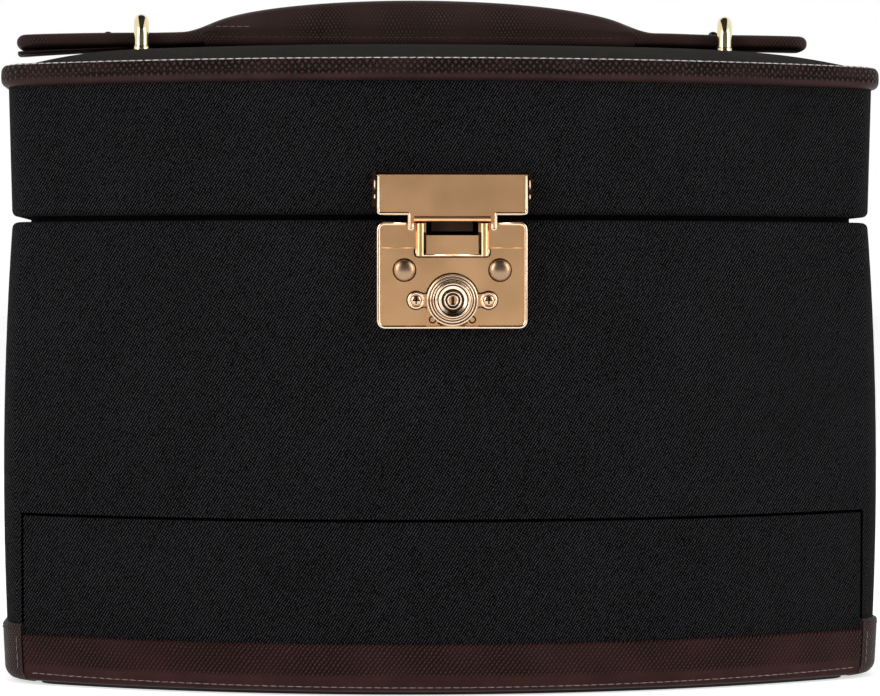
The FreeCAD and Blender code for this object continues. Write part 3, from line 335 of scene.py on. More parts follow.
def silvered_glass(name, low, high):
    """Mirror, faintly clouded."""
    item, tree, shader = finish(name)
    cloud = speckle(tree, object_place(tree), 25.0, 4.0)
    feed(tree, shader, {
        "Base Color": ramp(tree, cloud, (0.2, low), (0.8, high)),
        "Roughness": spread(tree, cloud, 0.3, 0.7, 0.015, 0.04),
        "Metallic": 1.0})
    return item


# Middle of the lock's ears and key plug, top of the body's walls, and how far below it the lining is
# painted black as the shade in the lid's seam
EAR_X, KEY_Z = 13.0, 142.2
BODY_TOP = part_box("body_shell")[1][2] / MM
SEAM_SHADE_DROP = 0.6

CLOTH = twill_cloth("black_twill", 1.0, (1.0, 0.95, 1.05))
# Copy of the case twill for the lid's padded top, darker and warmer than the walls: partly painted shade
PAD_CLOTH = twill_cloth("lid_top_twill", 1.05, (1.0, 0.78, 0.73))
TRIM_LEATHER = embossed_leather(
    "trim_leather", (0.0008, 0.0003, 0.0003), (0.08, 0.036, 0.0345), emboss=1.3,
    plain=(222.8, 224.0), pitch=1.95, shine=0.09)
BAND_LEATHER = embossed_leather(
    "band_leather", (0.001, 0.0003, 0.0002), (0.08, 0.0295, 0.0255), emboss=1.3,
    plain=(6.2, 8.2), pitch=1.35, shine=0.08, cross=0.75)
# Lighter copy of the band leather for the side bands, painted light against the shade on their sideways
# faces
LIT_FOOT_LEATHER = embossed_leather(
    "foot_leather", (0.012, 0.0055, 0.005), (0.062, 0.035, 0.032), emboss=0.25)
STRAP_LEATHER = embossed_leather(
    "strap_leather", (0.009, 0.0042, 0.0037), (0.062, 0.034, 0.03), emboss=0.3, wear=(0.0, 0.7), shine=0.07)
WHITE_THREAD = thread("white_thread", (0.45, 0.42, 0.4), (0.82, 0.79, 0.76))
PALE_THREAD = thread("pale_thread", (0.16, 0.125, 0.115), (0.36, 0.3, 0.28))
BROWN_THREAD = thread("brown_thread", (0.01, 0.0045, 0.004), (0.034, 0.018, 0.016))
ROSE_GOLD = polished_metal("rose_gold", (0.82, 0.47, 0.232), (0.89, 0.52, 0.265), 0.3)
# Darker copy of the lock metal for the rivets: painted shade
SHADED_RIVET_GOLD = polished_metal("shaded_rivet_gold", (0.34, 0.22, 0.135), (0.39, 0.26, 0.162), 0.3)
# Paler, glossier copy of the lock metal for rims, rings and the button: partly polish, partly painted
# highlight
POLISHED_HIGHLIGHT_GOLD = polished_metal("polished_highlight_gold", (0.86, 0.66, 0.47), (0.94, 0.75, 0.57), 0.15)
# Near-black copy of the lock metal: painted shade on the hasp's base, staple and pin, and in the lock's
# grooves, slots, seams and keyhole
PAINTED_SHADE_METAL = polished_metal("painted_shade_metal", (0.02, 0.011, 0.007), (0.045, 0.026, 0.017), 0.4)
SCREW_GOLD = polished_metal("screw_gold", (0.66, 0.42, 0.25), (0.74, 0.5, 0.32), 0.18, (EAR_X, KEY_Z))
BRASS = polished_metal("pale_brass", (0.78, 0.66, 0.36), (0.86, 0.76, 0.5), 0.08)
STEEL = polished_metal("satin_steel", (0.42, 0.42, 0.42), (0.52, 0.52, 0.52), 0.32)
BLACK_METAL = polished_metal("dark_stud", (0.02, 0.018, 0.016), (0.05, 0.045, 0.04), 0.35)
LINING = suede("taupe_suede", *TAUPE)
# body lining with no sheen, painted black near its top edge as the shade in the lid's seam
SEAM_SHADED_LINING = suede("seam_shaded_suede", *TAUPE, 0.0, BODY_TOP - SEAM_SHADE_DROP)
FELT = suede("taupe_felt", (0.05, 0.033, 0.027), (0.085, 0.06, 0.05), 0.5)
BOARD = grained_board("papered_board", (0.03, 0.019, 0.015), (0.05, 0.033, 0.027), 0.6)
BASE = grained_board("black_base", (0.0045, 0.0043, 0.0043), (0.012, 0.0115, 0.0115), 0.55)
MOULDING = grained_board("tray_moulding", (0.012, 0.01, 0.01), (0.02, 0.017, 0.017), 0.45, 900.0)
MIRROR = silvered_glass("mirror_glass", (0.83, 0.86, 0.87), (0.9, 0.92, 0.93))

NODE_FINISHES = {
    CLOTH: "body_shell drawer_front lid_shell",
    BASE: "base_board",
    BOARD: "compartment_floor drawer_side_left drawer_side_right drawer_back drawer_bottom "
        "drawer_runner_left drawer_runner_right drawer_stop",
    SEAM_SHADED_LINING: "body_lining",
    LINING: "lid_lining tray_ledge_left tray_ledge_right",
    MOULDING: "tray tray_divider tray_partitions mirror_frame",
    ROSE_GOLD: "lock_plate lock_scutcheon key_plug hasp",
    POLISHED_HIGHLIGHT_GOLD: "lock_button",
    SHADED_RIVET_GOLD: "lock_rivets",
    # hasp base, staple and pin painted near black, as if in shadow
    PAINTED_SHADE_METAL: "hasp_base hasp_staple hasp_pin",
    SCREW_GOLD: "scutcheon_screws",
    BRASS: "hinge_leaf_body_left hinge_leaf_body_right hinge_leaf_lid_left hinge_leaf_lid_right "
        "hinge_pin_left hinge_pin_right hinge_screws_body hinge_screws_lid",
    STEEL: "lock_case lock_bolt catch_magnets catch_discs",
    MIRROR: "mirror",
}
for skin, names in NODE_FINISHES.items():
    for name in names.split():
        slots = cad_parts[name].data.materials
        slots.clear()
        slots.append(skin)


# Outline of the case seen from above, in millimetres

CORNER_STEPS, FRONT_STEPS = 60, 400


def outline(half, front, back, bow, corner, rear):
    """Points and outward directions of a plan with a bowed front, stepped from the middle of the back
    round by the left side: arcs of circles at the four corners and the front, joined by straight runs."""
    bow_y = bow - front
    corner_x = half - corner
    lean = math.asin(corner_x / (bow - corner))
    corner_y = bow_y - (bow - corner) * math.cos(lean)
    arcs = ((rear - half, back - rear, rear, QUARTER, 2 * QUARTER, CORNER_STEPS),
            (-corner_x, corner_y, corner, 2 * QUARTER, 3 * QUARTER - lean, CORNER_STEPS),
            (0.0, bow_y, bow, 3 * QUARTER - lean, 3 * QUARTER + lean, FRONT_STEPS),
            (corner_x, corner_y, corner, 3 * QUARTER + lean, 4 * QUARTER, CORNER_STEPS),
            (half - rear, back - rear, rear, 4 * QUARTER, 5 * QUARTER, CORNER_STEPS))
    points, faces = [np.array([[0.0, back]])], [np.array([[0.0, 1.0]])]
    for x, y, radius, start, end, steps in arcs:
        turn = np.linspace(start, end, steps)
        facing = np.stack([np.cos(turn), np.sin(turn)], 1)
        points.append(np.array([x, y]) + radius * facing)
        faces.append(facing)
    points.append(points[0])
    faces.append(faces[0])
    return np.concatenate(points), np.concatenate(faces)


class Round:
    """The outline as a path: places along it, and how it moves as the case swells."""

    def __init__(self, half, front, back, bow, corner, rear):
        self.half, self.front, self.back, self.bow = half, front, back, bow
        self.points, self.faces = outline(half, front, back, bow, corner, rear)
        self.growth = outline(half + 1.0, front + 1.0, back, bow, corner, rear)[0] - self.points
        steps = np.linalg.norm(np.diff(self.points, axis=0), axis=1)
        self.run = np.concatenate([[0.0], np.cumsum(steps)])
        self.length = self.run[-1]

    def at(self, places):
        """Points, growth and outward directions at places along the path."""
        places = np.mod(places, self.length)

        def read(rows):
            return np.stack([np.interp(places, self.run, rows[:, i]) for i in range(2)], 1)

        return read(self.points), read(self.growth), read(self.faces)

    def even(self, count):
        """Even places all the way round."""
        return np.arange(count) * self.length / count

    def front_place(self, x):
        """Place along the path at which the front or its right corner has a given x."""
        ahead = (self.run >= self.length / 2) & (self.points[:, 1] < 0)
        return np.interp(x, self.points[ahead, 0], self.run[ahead])


CASE = Round(half=161.0, front=115.0, back=112.0, bow=300.0, corner=17.0, rear=20.0)
LID_SWELL = 1.2
FOOT_SWELL, SWELL_SLOPE, SWELL_BEND = 1.087, 0.05609, 0.000371
FOOT_ROUND, FOOT_ROUND_TOP = 5.0, 5.8


def wall_swell(level):
    """How far the case wall stands out from its plan at a level, a parabola through foot, belly and seam,
    and how far the circle that rounds the foot draws it in."""
    level = np.asarray(level, float)
    drop = np.clip(FOOT_ROUND_TOP - level, 0.0, FOOT_ROUND)
    swell = FOOT_SWELL + SWELL_SLOPE * level - SWELL_BEND * level ** 2
    return swell, FOOT_ROUND - np.sqrt(FOOT_ROUND ** 2 - drop ** 2)


# Mesh makers

def unit(rows):
    """Directions brought to length one."""
    return rows / np.linalg.norm(rows, axis=1, keepdims=True)


def circle(count):
    """Cosine and sine of even turns round a circle."""
    turn = np.arange(count) * 2 * math.pi / count
    return np.cos(turn), np.sin(turn)


def smooth_mesh(name, points, faces):
    """Mesh of smooth faces between points in millimetres."""
    mesh = bpy.data.meshes.new(name)
    mesh.from_pydata((points.reshape(-1, 3) * MM).tolist(), [], faces)
    mesh.polygons.foreach_set("use_smooth", np.ones(len(faces), bool))
    mesh.update()
    return mesh


def surface(name, points, closed=False, caps=False):
    """Mesh over rows of points in millimetres. Each row is joined round, and the last row to the first
    where closed; the first and last rows are filled by one face each if asked. Its map holds lengths."""
    rows, cols = points.shape[:2]
    i, j = np.meshgrid(np.arange(rows - (not closed)), np.arange(cols), indexing="ij")
    at_row = np.stack([i, i + 1, i + 1, i], -1).reshape(-1, 4)
    at_col = np.stack([j, j, j + 1, j + 1], -1).reshape(-1, 4)
    faces = ((at_row % rows) * cols + at_col % cols).tolist()
    all_rows = np.concatenate([points, points[:1]]) if closed else points
    along = np.linalg.norm(np.diff(all_rows, axis=0), axis=2).mean(1)
    all_cols = np.concatenate([points, points[:, :1]], 1)
    across = np.linalg.norm(np.diff(all_cols, axis=1), axis=2).mean(0)
    row_run, col_run = (np.concatenate([[0.0], np.cumsum(steps)]) for steps in (along, across))
    marks = np.stack([row_run[at_row], col_run[at_col]], -1).reshape(-1, 2)
    if caps:
        first, last = np.arange(cols), np.arange(cols) + (rows - 1) * cols
        faces += [first[::-1].tolist(), last.tolist()]
        marks = np.concatenate([marks, np.zeros((2 * cols, 2))])
    mesh = smooth_mesh(name, points, faces)
    mesh.uv_layers.new(name="span").data.foreach_set("uv", (marks * MM).astype(np.float32).ravel())
    return mesh


def piece(name, mesh, skin, slot, body=None, *nodes):
    """Object for a mesh, with its finish, the body that it rides on and the nodes that it stands for."""
    item = add(name, mesh)
    mesh.materials.append(skin)
    if nodes:
        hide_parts(*nodes)
    if body is not None:
        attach(item, body)
    return item


def carried(name, places, swells, outs, levels, closed):
    """A profile carried along the plan: each point stands out from the wall by its swell and its own reach,
    at its own level."""
    base, growth, facing = CASE.at(places)
    flat = base[:, None] + growth[:, None] * swells[:, None] + facing[:, None] * outs[:, None]
    height = np.broadcast_to(levels, flat.shape[:2])[..., None]
    return surface(name, np.concatenate([flat, height], 2), closed, not closed)


def oval(reach, rise, power, count):
    """Rounded box profile: cosine and sine raised to a power, from the outer side up and over."""
    c, s = circle(count)
    return reach * np.sign(c) * np.abs(c) ** (2 / power), rise * np.sign(s) * np.abs(s) ** (2 / power)


def bent_line(corners, rounding, steps=9):
    """Straight runs between corners, with each inner corner rounded by a quadratic curve."""
    corners = np.asarray(corners, float)
    before, at, after = corners[:-2], corners[1:-1], corners[2:]
    into, out = unit(at - before), unit(after - at)
    share = np.linspace(0.0, 1.0, steps)[:, None]
    start, end = (at - into * rounding)[:, None], (at + out * rounding)[:, None]
    bends = start * (1 - share) ** 2 + 2 * at[:, None] * share * (1 - share) + end * share ** 2
    return np.concatenate([corners[:1], bends.reshape(-1, 2), corners[-1:]])


STITCH_PITCH, STITCH_LONG, STITCH_THICK = 3.1, 2.85, 0.21
STITCH_TILT, STITCH_UNEVEN = 0.03, 0.04
STITCH_GIRTH = np.array([0.25, 0.85, 1.0, 0.85, 0.25])
STITCH_SIDES = 6
ALONG, UPWARD = (1.0, 0.0, 0.0), (0.0, 0.0, 1.0)


def stitches(name, centres, along, up, length, thick, skin, body):
    """A row of short threads: spindles of rings of points, each turned and sized a little differently,
    lying along the seam and half sunk into it."""
    count, rings, sides = len(centres), len(STITCH_GIRTH), STITCH_SIDES
    along, up = np.broadcast_to(along, (count, 3)), np.broadcast_to(up, (count, 3))
    along = unit(along)
    across = unit(np.cross(up, along))
    tilt = SHAKE.normal(0.0, STITCH_TILT, (count, 1))
    along, across = along + across * tilt, across - along * tilt
    up = np.cross(along, across)
    c, s = circle(sides)
    sizes = length * (1.0 + SHAKE.normal(0.0, STITCH_UNEVEN, (count, 1, 1, 1)))
    spine = np.linspace(-1.0, 1.0, rings)[:, None, None] * along[:, None, None] * sizes / 2
    hoop = c[:, None] * across[:, None, None] + s[:, None] * up[:, None, None]
    points = centres[:, None, None] + spine + hoop * thick * STITCH_GIRTH[:, None, None]
    i, j, k = np.meshgrid(np.arange(count), np.arange(rings - 1), np.arange(sides), indexing="ij")

    def number(row, col):
        return (i * rings + row) * sides + col % sides

    quads = np.stack([number(j, k), number(j, k + 1), number(j + 1, k + 1), number(j + 1, k)], -1)
    first = np.arange(count)[:, None] * rings * sides
    last = first + (rings - 1) * sides
    caps = np.concatenate([first + np.arange(sides)[::-1], last + np.arange(sides)])
    mesh = smooth_mesh(name, points, quads.reshape(-1, 4).tolist() + caps.tolist())
    return piece(name, mesh, skin, None, body)


def seam_on_wall(name, places, swell, out, level, up, thick, skin, body, along=None):
    """Stitches at places along the plan, with a swell, reach and level that may run along it, lying
    along the wall unless another direction is given."""
    base, growth, facing = CASE.at(places)
    swell, out, level = (np.broadcast_to(part, len(places))[:, None] for part in (swell, out, level))
    if along is None:
        along = np.stack([-facing[:, 1], facing[:, 0], np.zeros(len(places))], 1)
    centres = np.concatenate([base + growth * swell + facing * out, level], 1)
    normals = np.concatenate([facing * up[0], np.full((len(places), 1), up[1])], 1)
    stitches(name, centres, along, normals, STITCH_LONG, thick, skin, body)


# Lid: rolled leather trim, its stitching and the padded top

ROLL_STATIONS, ROLL_SIDES = 900, 36
ROLL_REACH, ROLL_RISE, ROLL_POWER = 4.3, 4.2, 3.1
ROLL_OUT, ROLL_LEVEL = -1.6, 225.2
ROLL_SEAM_OUT, ROLL_SEAM_LEVEL = 1.35, 228.95
ROLL_SEAM_FACING = (0.55, 0.83)


def lid_trim():
    """Rolled trim of the lid, a rounded box section carried round the plan, with a row of stitches along
    its upper outer edge."""
    reach, rise = oval(ROLL_REACH, ROLL_RISE, ROLL_POWER, ROLL_SIDES)
    mesh = carried("lid_roll", CASE.even(ROLL_STATIONS), np.full(ROLL_SIDES, LID_SWELL), reach + ROLL_OUT,
                   rise + ROLL_LEVEL, True)
    piece("lid_roll", mesh, TRIM_LEATHER, "trim_leather", "lid", "lid_trim")
    places = CASE.even(int(CASE.length / STITCH_PITCH))
    seam_on_wall("lid_roll_stitches", places, LID_SWELL, ROLL_SEAM_OUT, ROLL_SEAM_LEVEL, ROLL_SEAM_FACING,
                 STITCH_THICK, WHITE_THREAD, "lid")


lid_trim()

PAD_STATIONS, PAD_ROWS = 420, 60
PAD_OUT = -4.2
PAD_MIDDLE = np.array([0.0, -4.0])
SIDE_LEAD, FRONT_LEAD = 1.75, 1.08
EDGE_BLEND = 7.0
PAD_FOOT = 226.0
TUCK_RISE, TUCK_RUN = 2.4, 3.0
PAD_RISE, PAD_RUN, PAD_FULL = 10.6, 79.0, 1.8
PUCKER_RISE, PUCKER_RUN = 0.16, 5.0
UNEVEN_RISE = 0.12


def lid_top():
    """Padded top of the lid: height rises from the trim by a power of the distance to the nearest edge,
    soonest at the two ends, with faint puckers where the cloth is drawn in under the roll."""
    rim, growth, facing = CASE.at(CASE.even(PAD_STATIONS))
    rim = rim + growth * LID_SWELL + facing * PAD_OUT
    shrink = 1.0 - np.linspace(0.0, 1.0, PAD_ROWS)[:-1] ** 1.5
    flat = PAD_MIDDLE + (rim - PAD_MIDDLE) * shrink[:, None, None]
    x, y = flat[..., 0], flat[..., 1]
    to_side = SIDE_LEAD * (CASE.half + LID_SWELL + PAD_OUT - np.abs(x))
    to_back = CASE.back + PAD_OUT - y
    to_front = FRONT_LEAD * (CASE.bow + PAD_OUT - np.hypot(x, y - (CASE.bow - CASE.front - LID_SWELL)))
    gaps = np.maximum(np.stack([to_side, to_back, to_front]), 0.05)
    edge = (gaps ** -EDGE_BLEND).sum(0) ** (-1 / EDGE_BLEND)
    climb = 1.0 - (1.0 - np.clip(edge / PAD_RUN, 0.0, 1.0)) ** PAD_FULL
    tuck = np.sqrt(np.clip(edge / TUCK_RUN, 0.0, 1.0))
    turn = np.arange(PAD_STATIONS) * 2 * math.pi / PAD_STATIONS
    pucker = (np.sin(turn * 61) * 0.6 + np.sin(turn * 97 + 1.3) * 0.4) * np.exp(-edge / PUCKER_RUN) * tuck
    uneven = np.sin(x / 21.0) * np.sin(y / 17.0 + 0.6) * climb
    height = PAD_FOOT + TUCK_RISE * tuck + PAD_RISE * climb + PUCKER_RISE * pucker + UNEVEN_RISE * uneven
    points = np.concatenate([flat, height[..., None]], 2)
    crown = np.broadcast_to(np.array([*PAD_MIDDLE, height[-1].mean()]), (1, PAD_STATIONS, 3))
    mesh = surface("lid_padded_top", np.concatenate([points, crown])[:, ::-1])
    item = piece("lid_padded_top", mesh, PAD_CLOTH, "case_fabric", "lid", "lid_pad")


lid_top()


# Leather bands round the foot

BAND_THICK, BAND_BACK = 1.6, -0.9
EDGE_THIN, EDGE_RUN = 0.75, 0.35
RIDGE_RISE, RIDGE_IN, RIDGE_RUN = 0.12, 1.1, 0.5
DRAWER_BAND, SIDE_BAND = (1.4, 18.6), (0.5, 22.4)
FOOT_MIDDLE = CASE.length / 2
SIDE_EDGE = CASE.front_place(154.0)
DRAWER_HALF = CASE.front_place(153.6) - FOOT_MIDDLE
FRONT_TUCK = 0.35


def band_profile(low, high, count, tuck):
    """Outer face of a leather band with turned edges: thickness falls off at both edges, with a slight
    ridge inside them, then the back runs down inside the wall; the foot draws in by a share of the
    wall's own rounding."""
    level = np.linspace(low, high, count)
    near = np.minimum(level - low, high - level)
    ridge = RIDGE_RISE * np.exp(-((near - RIDGE_IN) / RIDGE_RUN) ** 2)
    face = BAND_THICK * (1.0 - EDGE_THIN * np.exp(-near / EDGE_RUN)) + ridge
    swell, inset = wall_swell(level)
    inset = inset * tuck
    swells = np.concatenate([swell, swell[::-1]])
    outs = np.concatenate([face - inset, BAND_BACK - inset[::-1]])
    return swells, outs, np.concatenate([level, level[::-1]])


DRAWER_SEAM_OUT, SIDE_SEAM_OUT = 1.66, 1.68
DRAWER_SEAM_LEVEL, DRAWER_SEAM_BOW = 3.1, 1.4
SIDE_SEAM_LEVEL = 20.2
CORNER_SEAM_FOOT, CORNER_SEAM_COUNT, CORNER_SEAM_IN = 7.0, 4, 2.2
DRAWER_THREAD, CORNER_THREAD = 0.16, 0.15


def foot_bands():
    """The drawer's band across the front and the case's round the other sides, each with its stitches:
    along the drawer's foot in a slight parabola, along the case's top, and up its two front ends."""
    front = FOOT_MIDDLE + np.linspace(-DRAWER_HALF, DRAWER_HALF, 260)
    mesh = carried("drawer_leather", front, *band_profile(*DRAWER_BAND, 36, FRONT_TUCK), False)
    piece("drawer_leather", mesh, BAND_LEATHER, "trim_leather", "drawer", "drawer_band")
    around = np.linspace(SIDE_EDGE, CASE.length + 2 * FOOT_MIDDLE - SIDE_EDGE, 520)
    mesh = carried("foot_leather", around, *band_profile(*SIDE_BAND, 44, 1.0), False)
    piece("foot_leather", mesh, LIT_FOOT_LEATHER, "trim_leather", "case", "side_band")
    count = int(2 * (DRAWER_HALF - 3.0) / STITCH_PITCH)
    places = FOOT_MIDDLE + (np.arange(count) - (count - 1) / 2) * STITCH_PITCH
    level = DRAWER_SEAM_LEVEL + DRAWER_SEAM_BOW * ((places - FOOT_MIDDLE) / DRAWER_HALF) ** 2
    swell, inset = wall_swell(level)
    seam_on_wall("drawer_leather_stitches", places, swell, DRAWER_SEAM_OUT - inset * FRONT_TUCK, level,
                 (1.0, -0.1), DRAWER_THREAD, PALE_THREAD, "drawer")
    count = int((around[-1] - around[0] - 8.0) / STITCH_PITCH)
    places = around[0] + 4.0 + np.arange(count) * STITCH_PITCH
    swell, inset = wall_swell(SIDE_SEAM_LEVEL)
    seam_on_wall("foot_leather_stitches", places, swell, SIDE_SEAM_OUT - inset, SIDE_SEAM_LEVEL, (1.0, 0.0),
                 STITCH_THICK, BROWN_THREAD, "case")
    levels = np.arange(CORNER_SEAM_COUNT) * STITCH_PITCH + CORNER_SEAM_FOOT
    swell, inset = wall_swell(levels)
    for side, place in (("left", around[-1] - CORNER_SEAM_IN), ("right", around[0] + CORNER_SEAM_IN)):
        seam_on_wall("foot_corner_stitches_" + side, np.full(CORNER_SEAM_COUNT, place), swell,
                     SIDE_SEAM_OUT - inset, levels, (1.0, 0.0), CORNER_THREAD, PALE_THREAD, "case", UPWARD)


foot_bands()


# Handle: strap, padded grip, studs, flap under the left end, wire loops

STRAP_TOP, STRAP_MIDDLE = 246.0, 243.0
STRAP_TIP, STRAP_FLAT = 8.0, 4.0
STRAP_EDGE, STRAP_EDGE_RUN = 0.35, 3.2
STRAP_THICK, STRAP_PLUMP, STRAP_SLIM = 2.65, 0.07, 0.94
STRAP_SEAM_IN, STRAP_SEAM_RISE = 2.2, 2.4
CLIMB_RISE, CLIMB_END, CLIMB_RUN = 0.6, 113.0, 27.0
DROOP_START, DROOP_RUN = 112.0, 50.0
GRIP_X, GRIP_HALF = -6.2, 84.0
GRIP_RISE, GRIP_FOOT = 12.7, STRAP_TOP + 0.6
ARCH_POWER = 2.5
TOE_START, TOE_RUN, TOE_SINK = 78.0, 15.0, 0.25
STRAP_LAP = 14.0
TAIL_END = {"left": -163.2, "right": 147.0}


def bend_with(item):
    """Bakes a piece's placing into its mesh."""
    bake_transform(item)


def strap_half_width(from_end):
    """Half width of the strap near its rounded end: a flat part and a quarter circle."""
    near = np.clip(STRAP_TIP - from_end, 0.0, STRAP_TIP)
    return STRAP_FLAT + np.sqrt(np.maximum(STRAP_TIP ** 2 - near ** 2, 0.0))


def strap_half_thick(from_end):
    """Half thickness of the strap near its end: a thin edge and a quarter ellipse."""
    near = np.clip(STRAP_EDGE_RUN - from_end, 0.0, STRAP_EDGE_RUN)
    return STRAP_EDGE + STRAP_THICK * np.sqrt(np.maximum(1.0 - (near / STRAP_EDGE_RUN) ** 2, 0.0))


def strap_line(x):
    """Level of the strap's middle: it climbs to the grip by a smooth step and droops to its ends by a
    parabola."""
    far = np.abs(x)
    climb = np.clip((CLIMB_END - far) / CLIMB_RUN, 0.0, 1.0)
    droop = np.clip((far - DROOP_START) / DROOP_RUN, 0.0, None)
    return STRAP_MIDDLE + CLIMB_RISE * climb ** 2 * (3.0 - 2.0 * climb) - droop ** 2


def grip_toe(away):
    """Share of the grip's rise at a distance along its toe: a cubic that leaves the grip's ellipse at the
    same slope and runs out level."""
    first = math.sqrt(1.0 - (TOE_START / GRIP_HALF) ** 2)
    slope = -TOE_START / GRIP_HALF ** 2 / first
    t = np.clip((away - TOE_START) / TOE_RUN, 0.0, 1.0)
    return first * (2 * t ** 3 - 3 * t ** 2 + 1) + slope * TOE_RUN * (t ** 3 - 2 * t ** 2 + t)


def tube(name, x, y, z):
    """Closed mesh of sections stepped along x, each a row of points across and up."""
    points = np.stack([np.broadcast_to(x[:, None], z.shape), y, z], 2)
    return surface(name, points[:, ::-1], caps=True)


def strap(side):
    """Flat sewn strap: a rounded box section carried along x, rounded off in plan and in thickness at its
    end, plump along the middle, with an arched toe that leads up to the grip."""
    sign = -1.0 if side == "left" else 1.0
    end = TAIL_END[side]
    inner = GRIP_X + sign * (GRIP_HALF - STRAP_LAP)
    tip = STRAP_TIP * (1.0 - np.cos(np.linspace(0.0, QUARTER, 16)))
    body = np.linspace(STRAP_TIP, abs(end - inner), 110)[1:]
    from_end = np.concatenate([tip, body])[::-int(sign)]
    x = end - sign * from_end
    y, z = oval(1.0, 1.0, 4.2, 56)
    rise = strap_half_thick(from_end)[:, None] * z * (1.0 + STRAP_PLUMP * np.cos(y * QUARTER)) * STRAP_SLIM
    arch = np.where(z > 0, np.maximum(1.0 - np.abs(y) ** ARCH_POWER, 0.0) ** (1 / ARCH_POWER), 0.0)
    away = np.abs(x - GRIP_X)
    toe = GRIP_RISE * grip_toe(away) - TOE_SINK * (away < TOE_START)
    mesh = tube("strap_" + side, x, strap_half_width(from_end)[:, None] * y,
                strap_line(x)[:, None] + rise + toe[:, None] * arch)
    nodes = ("strap_bend_" + side, "strap_tail_" + side)
    item = piece("strap_" + side, mesh, STRAP_LEATHER, "handle_leather", None, *nodes)
    bend_with(item)
    count = int((abs(end - GRIP_X) - TOE_START - TOE_RUN - 6.0) / STITCH_PITCH)
    from_end = 5.0 + np.arange(count) * STITCH_PITCH
    x = end - sign * from_end
    width = strap_half_width(from_end) - STRAP_SEAM_IN
    centres = np.stack([np.tile(x, 2), np.concatenate([width, -width]),
                        np.tile(strap_line(x) + STRAP_SEAM_RISE, 2)], 1)
    row = stitches("strap_stitches_" + side, centres, ALONG, UPWARD, STITCH_LONG, STITCH_THICK,
                   BROWN_THREAD, None)
    bend_with(row)


GRIP_WIDTH, GRIP_BULGE = 12.35, 0.75
GRIP_UNDER, GRIP_SEAM = 239.86, STRAP_TOP - 0.6
UNDER_POWER = 5.0
WAIST, WAIST_RUN = 0.028, 0.55
RIPPLE, RIPPLE_TURNS = 0.006, 23.0
GRIP_STITCH_PITCH, GRIP_STITCH_IN, GRIP_STITCH_LEVEL = 2.6, 0.12, STRAP_TOP - 2.2
GRIP_STITCH, END_STITCH = (2.0, 0.2), (2.6, 0.1)
END_STITCHES, END_STITCH_PITCH, END_STITCH_START, END_STITCH_LEVEL = 5, 2.7, 67.5, 248.0


def grip_section(x):
    """Half width and top level of the padded grip at a place along it: an ellipse."""
    bulge = np.sqrt(np.maximum(1.0 - ((x - GRIP_X) / GRIP_HALF) ** 2, 0.0))
    return GRIP_WIDTH + GRIP_BULGE * bulge, GRIP_FOOT + GRIP_RISE * bulge


def grip():
    """Padded grip: an arched upper section over the strap, narrowed at the seam along each side, carried
    along x with an elliptical rise, and rows of stitches along both seams and above their ends."""
    share = np.sin(np.linspace(-QUARTER, QUARTER, 150))
    x = GRIP_X + GRIP_HALF * share
    c, s = circle(72)
    width, top = (part[:, None] for part in grip_section(x))
    over = s > 0
    power = np.where(over, ARCH_POWER, UNDER_POWER)
    rise = np.abs(s) ** (2 / power)
    z = GRIP_SEAM + np.where(over, top - GRIP_SEAM, GRIP_UNDER - GRIP_SEAM) * rise
    waist = 1.0 - WAIST * np.exp(-((z - GRIP_SEAM) / WAIST_RUN) ** 2)
    ripple = 1.0 + RIPPLE * np.sin(share * RIPPLE_TURNS)[:, None] * rise * over
    mesh = tube("padded_grip", x, width * np.sign(c) * np.abs(c) ** (2 / power) * waist * ripple, z)
    item = piece("padded_grip", mesh, STRAP_LEATHER, "handle_leather", "grip",
                 "handle_grip", "handle_strap")
    count = int(2 * (GRIP_HALF - 5.0) / GRIP_STITCH_PITCH)
    x = GRIP_X + (np.arange(count) - (count - 1) / 2) * GRIP_STITCH_PITCH
    width = grip_section(x)[0] - GRIP_STITCH_IN
    for side, sign in (("front", -1.0), ("back", 1.0)):
        facing = (0.0, sign, 0.0)
        centres = np.stack([x, sign * width, np.full(count, GRIP_STITCH_LEVEL)], 1)
        stitches("grip_stitches_" + side, centres, ALONG, facing, *GRIP_STITCH, BROWN_THREAD, "grip")
        for end, way, skin in (("left", -1.0, PALE_THREAD), ("right", 1.0, BROWN_THREAD)):
            end_x = GRIP_X + way * (np.arange(END_STITCHES) * END_STITCH_PITCH + END_STITCH_START)
            end_width, end_top = grip_section(end_x)
            lift = np.minimum((END_STITCH_LEVEL - GRIP_SEAM) / (end_top - GRIP_SEAM), 1.0)
            reach = end_width * (1.0 - lift ** ARCH_POWER) ** (1 / ARCH_POWER)
            centres = np.stack([end_x, sign * reach, np.full(END_STITCHES, END_STITCH_LEVEL)], 1)
            name = "grip_" + end + "_stitches_" + side
            stitches(name, centres, ALONG, facing, *END_STITCH, skin, "grip")


def turned(name, x, y, radii, levels, skin, slot, body, count=28):
    """Small turned piece: a profile of radius and level spun about an upright line."""
    c, s = circle(count)
    radii, levels = np.asarray(radii)[:, None], np.asarray(levels)[:, None]
    points = np.stack([x + radii * c, y + radii * s, np.broadcast_to(levels, (len(radii), count))], 2)
    return piece(name, surface(name, points[:, ::-1], caps=True), skin, slot, body)


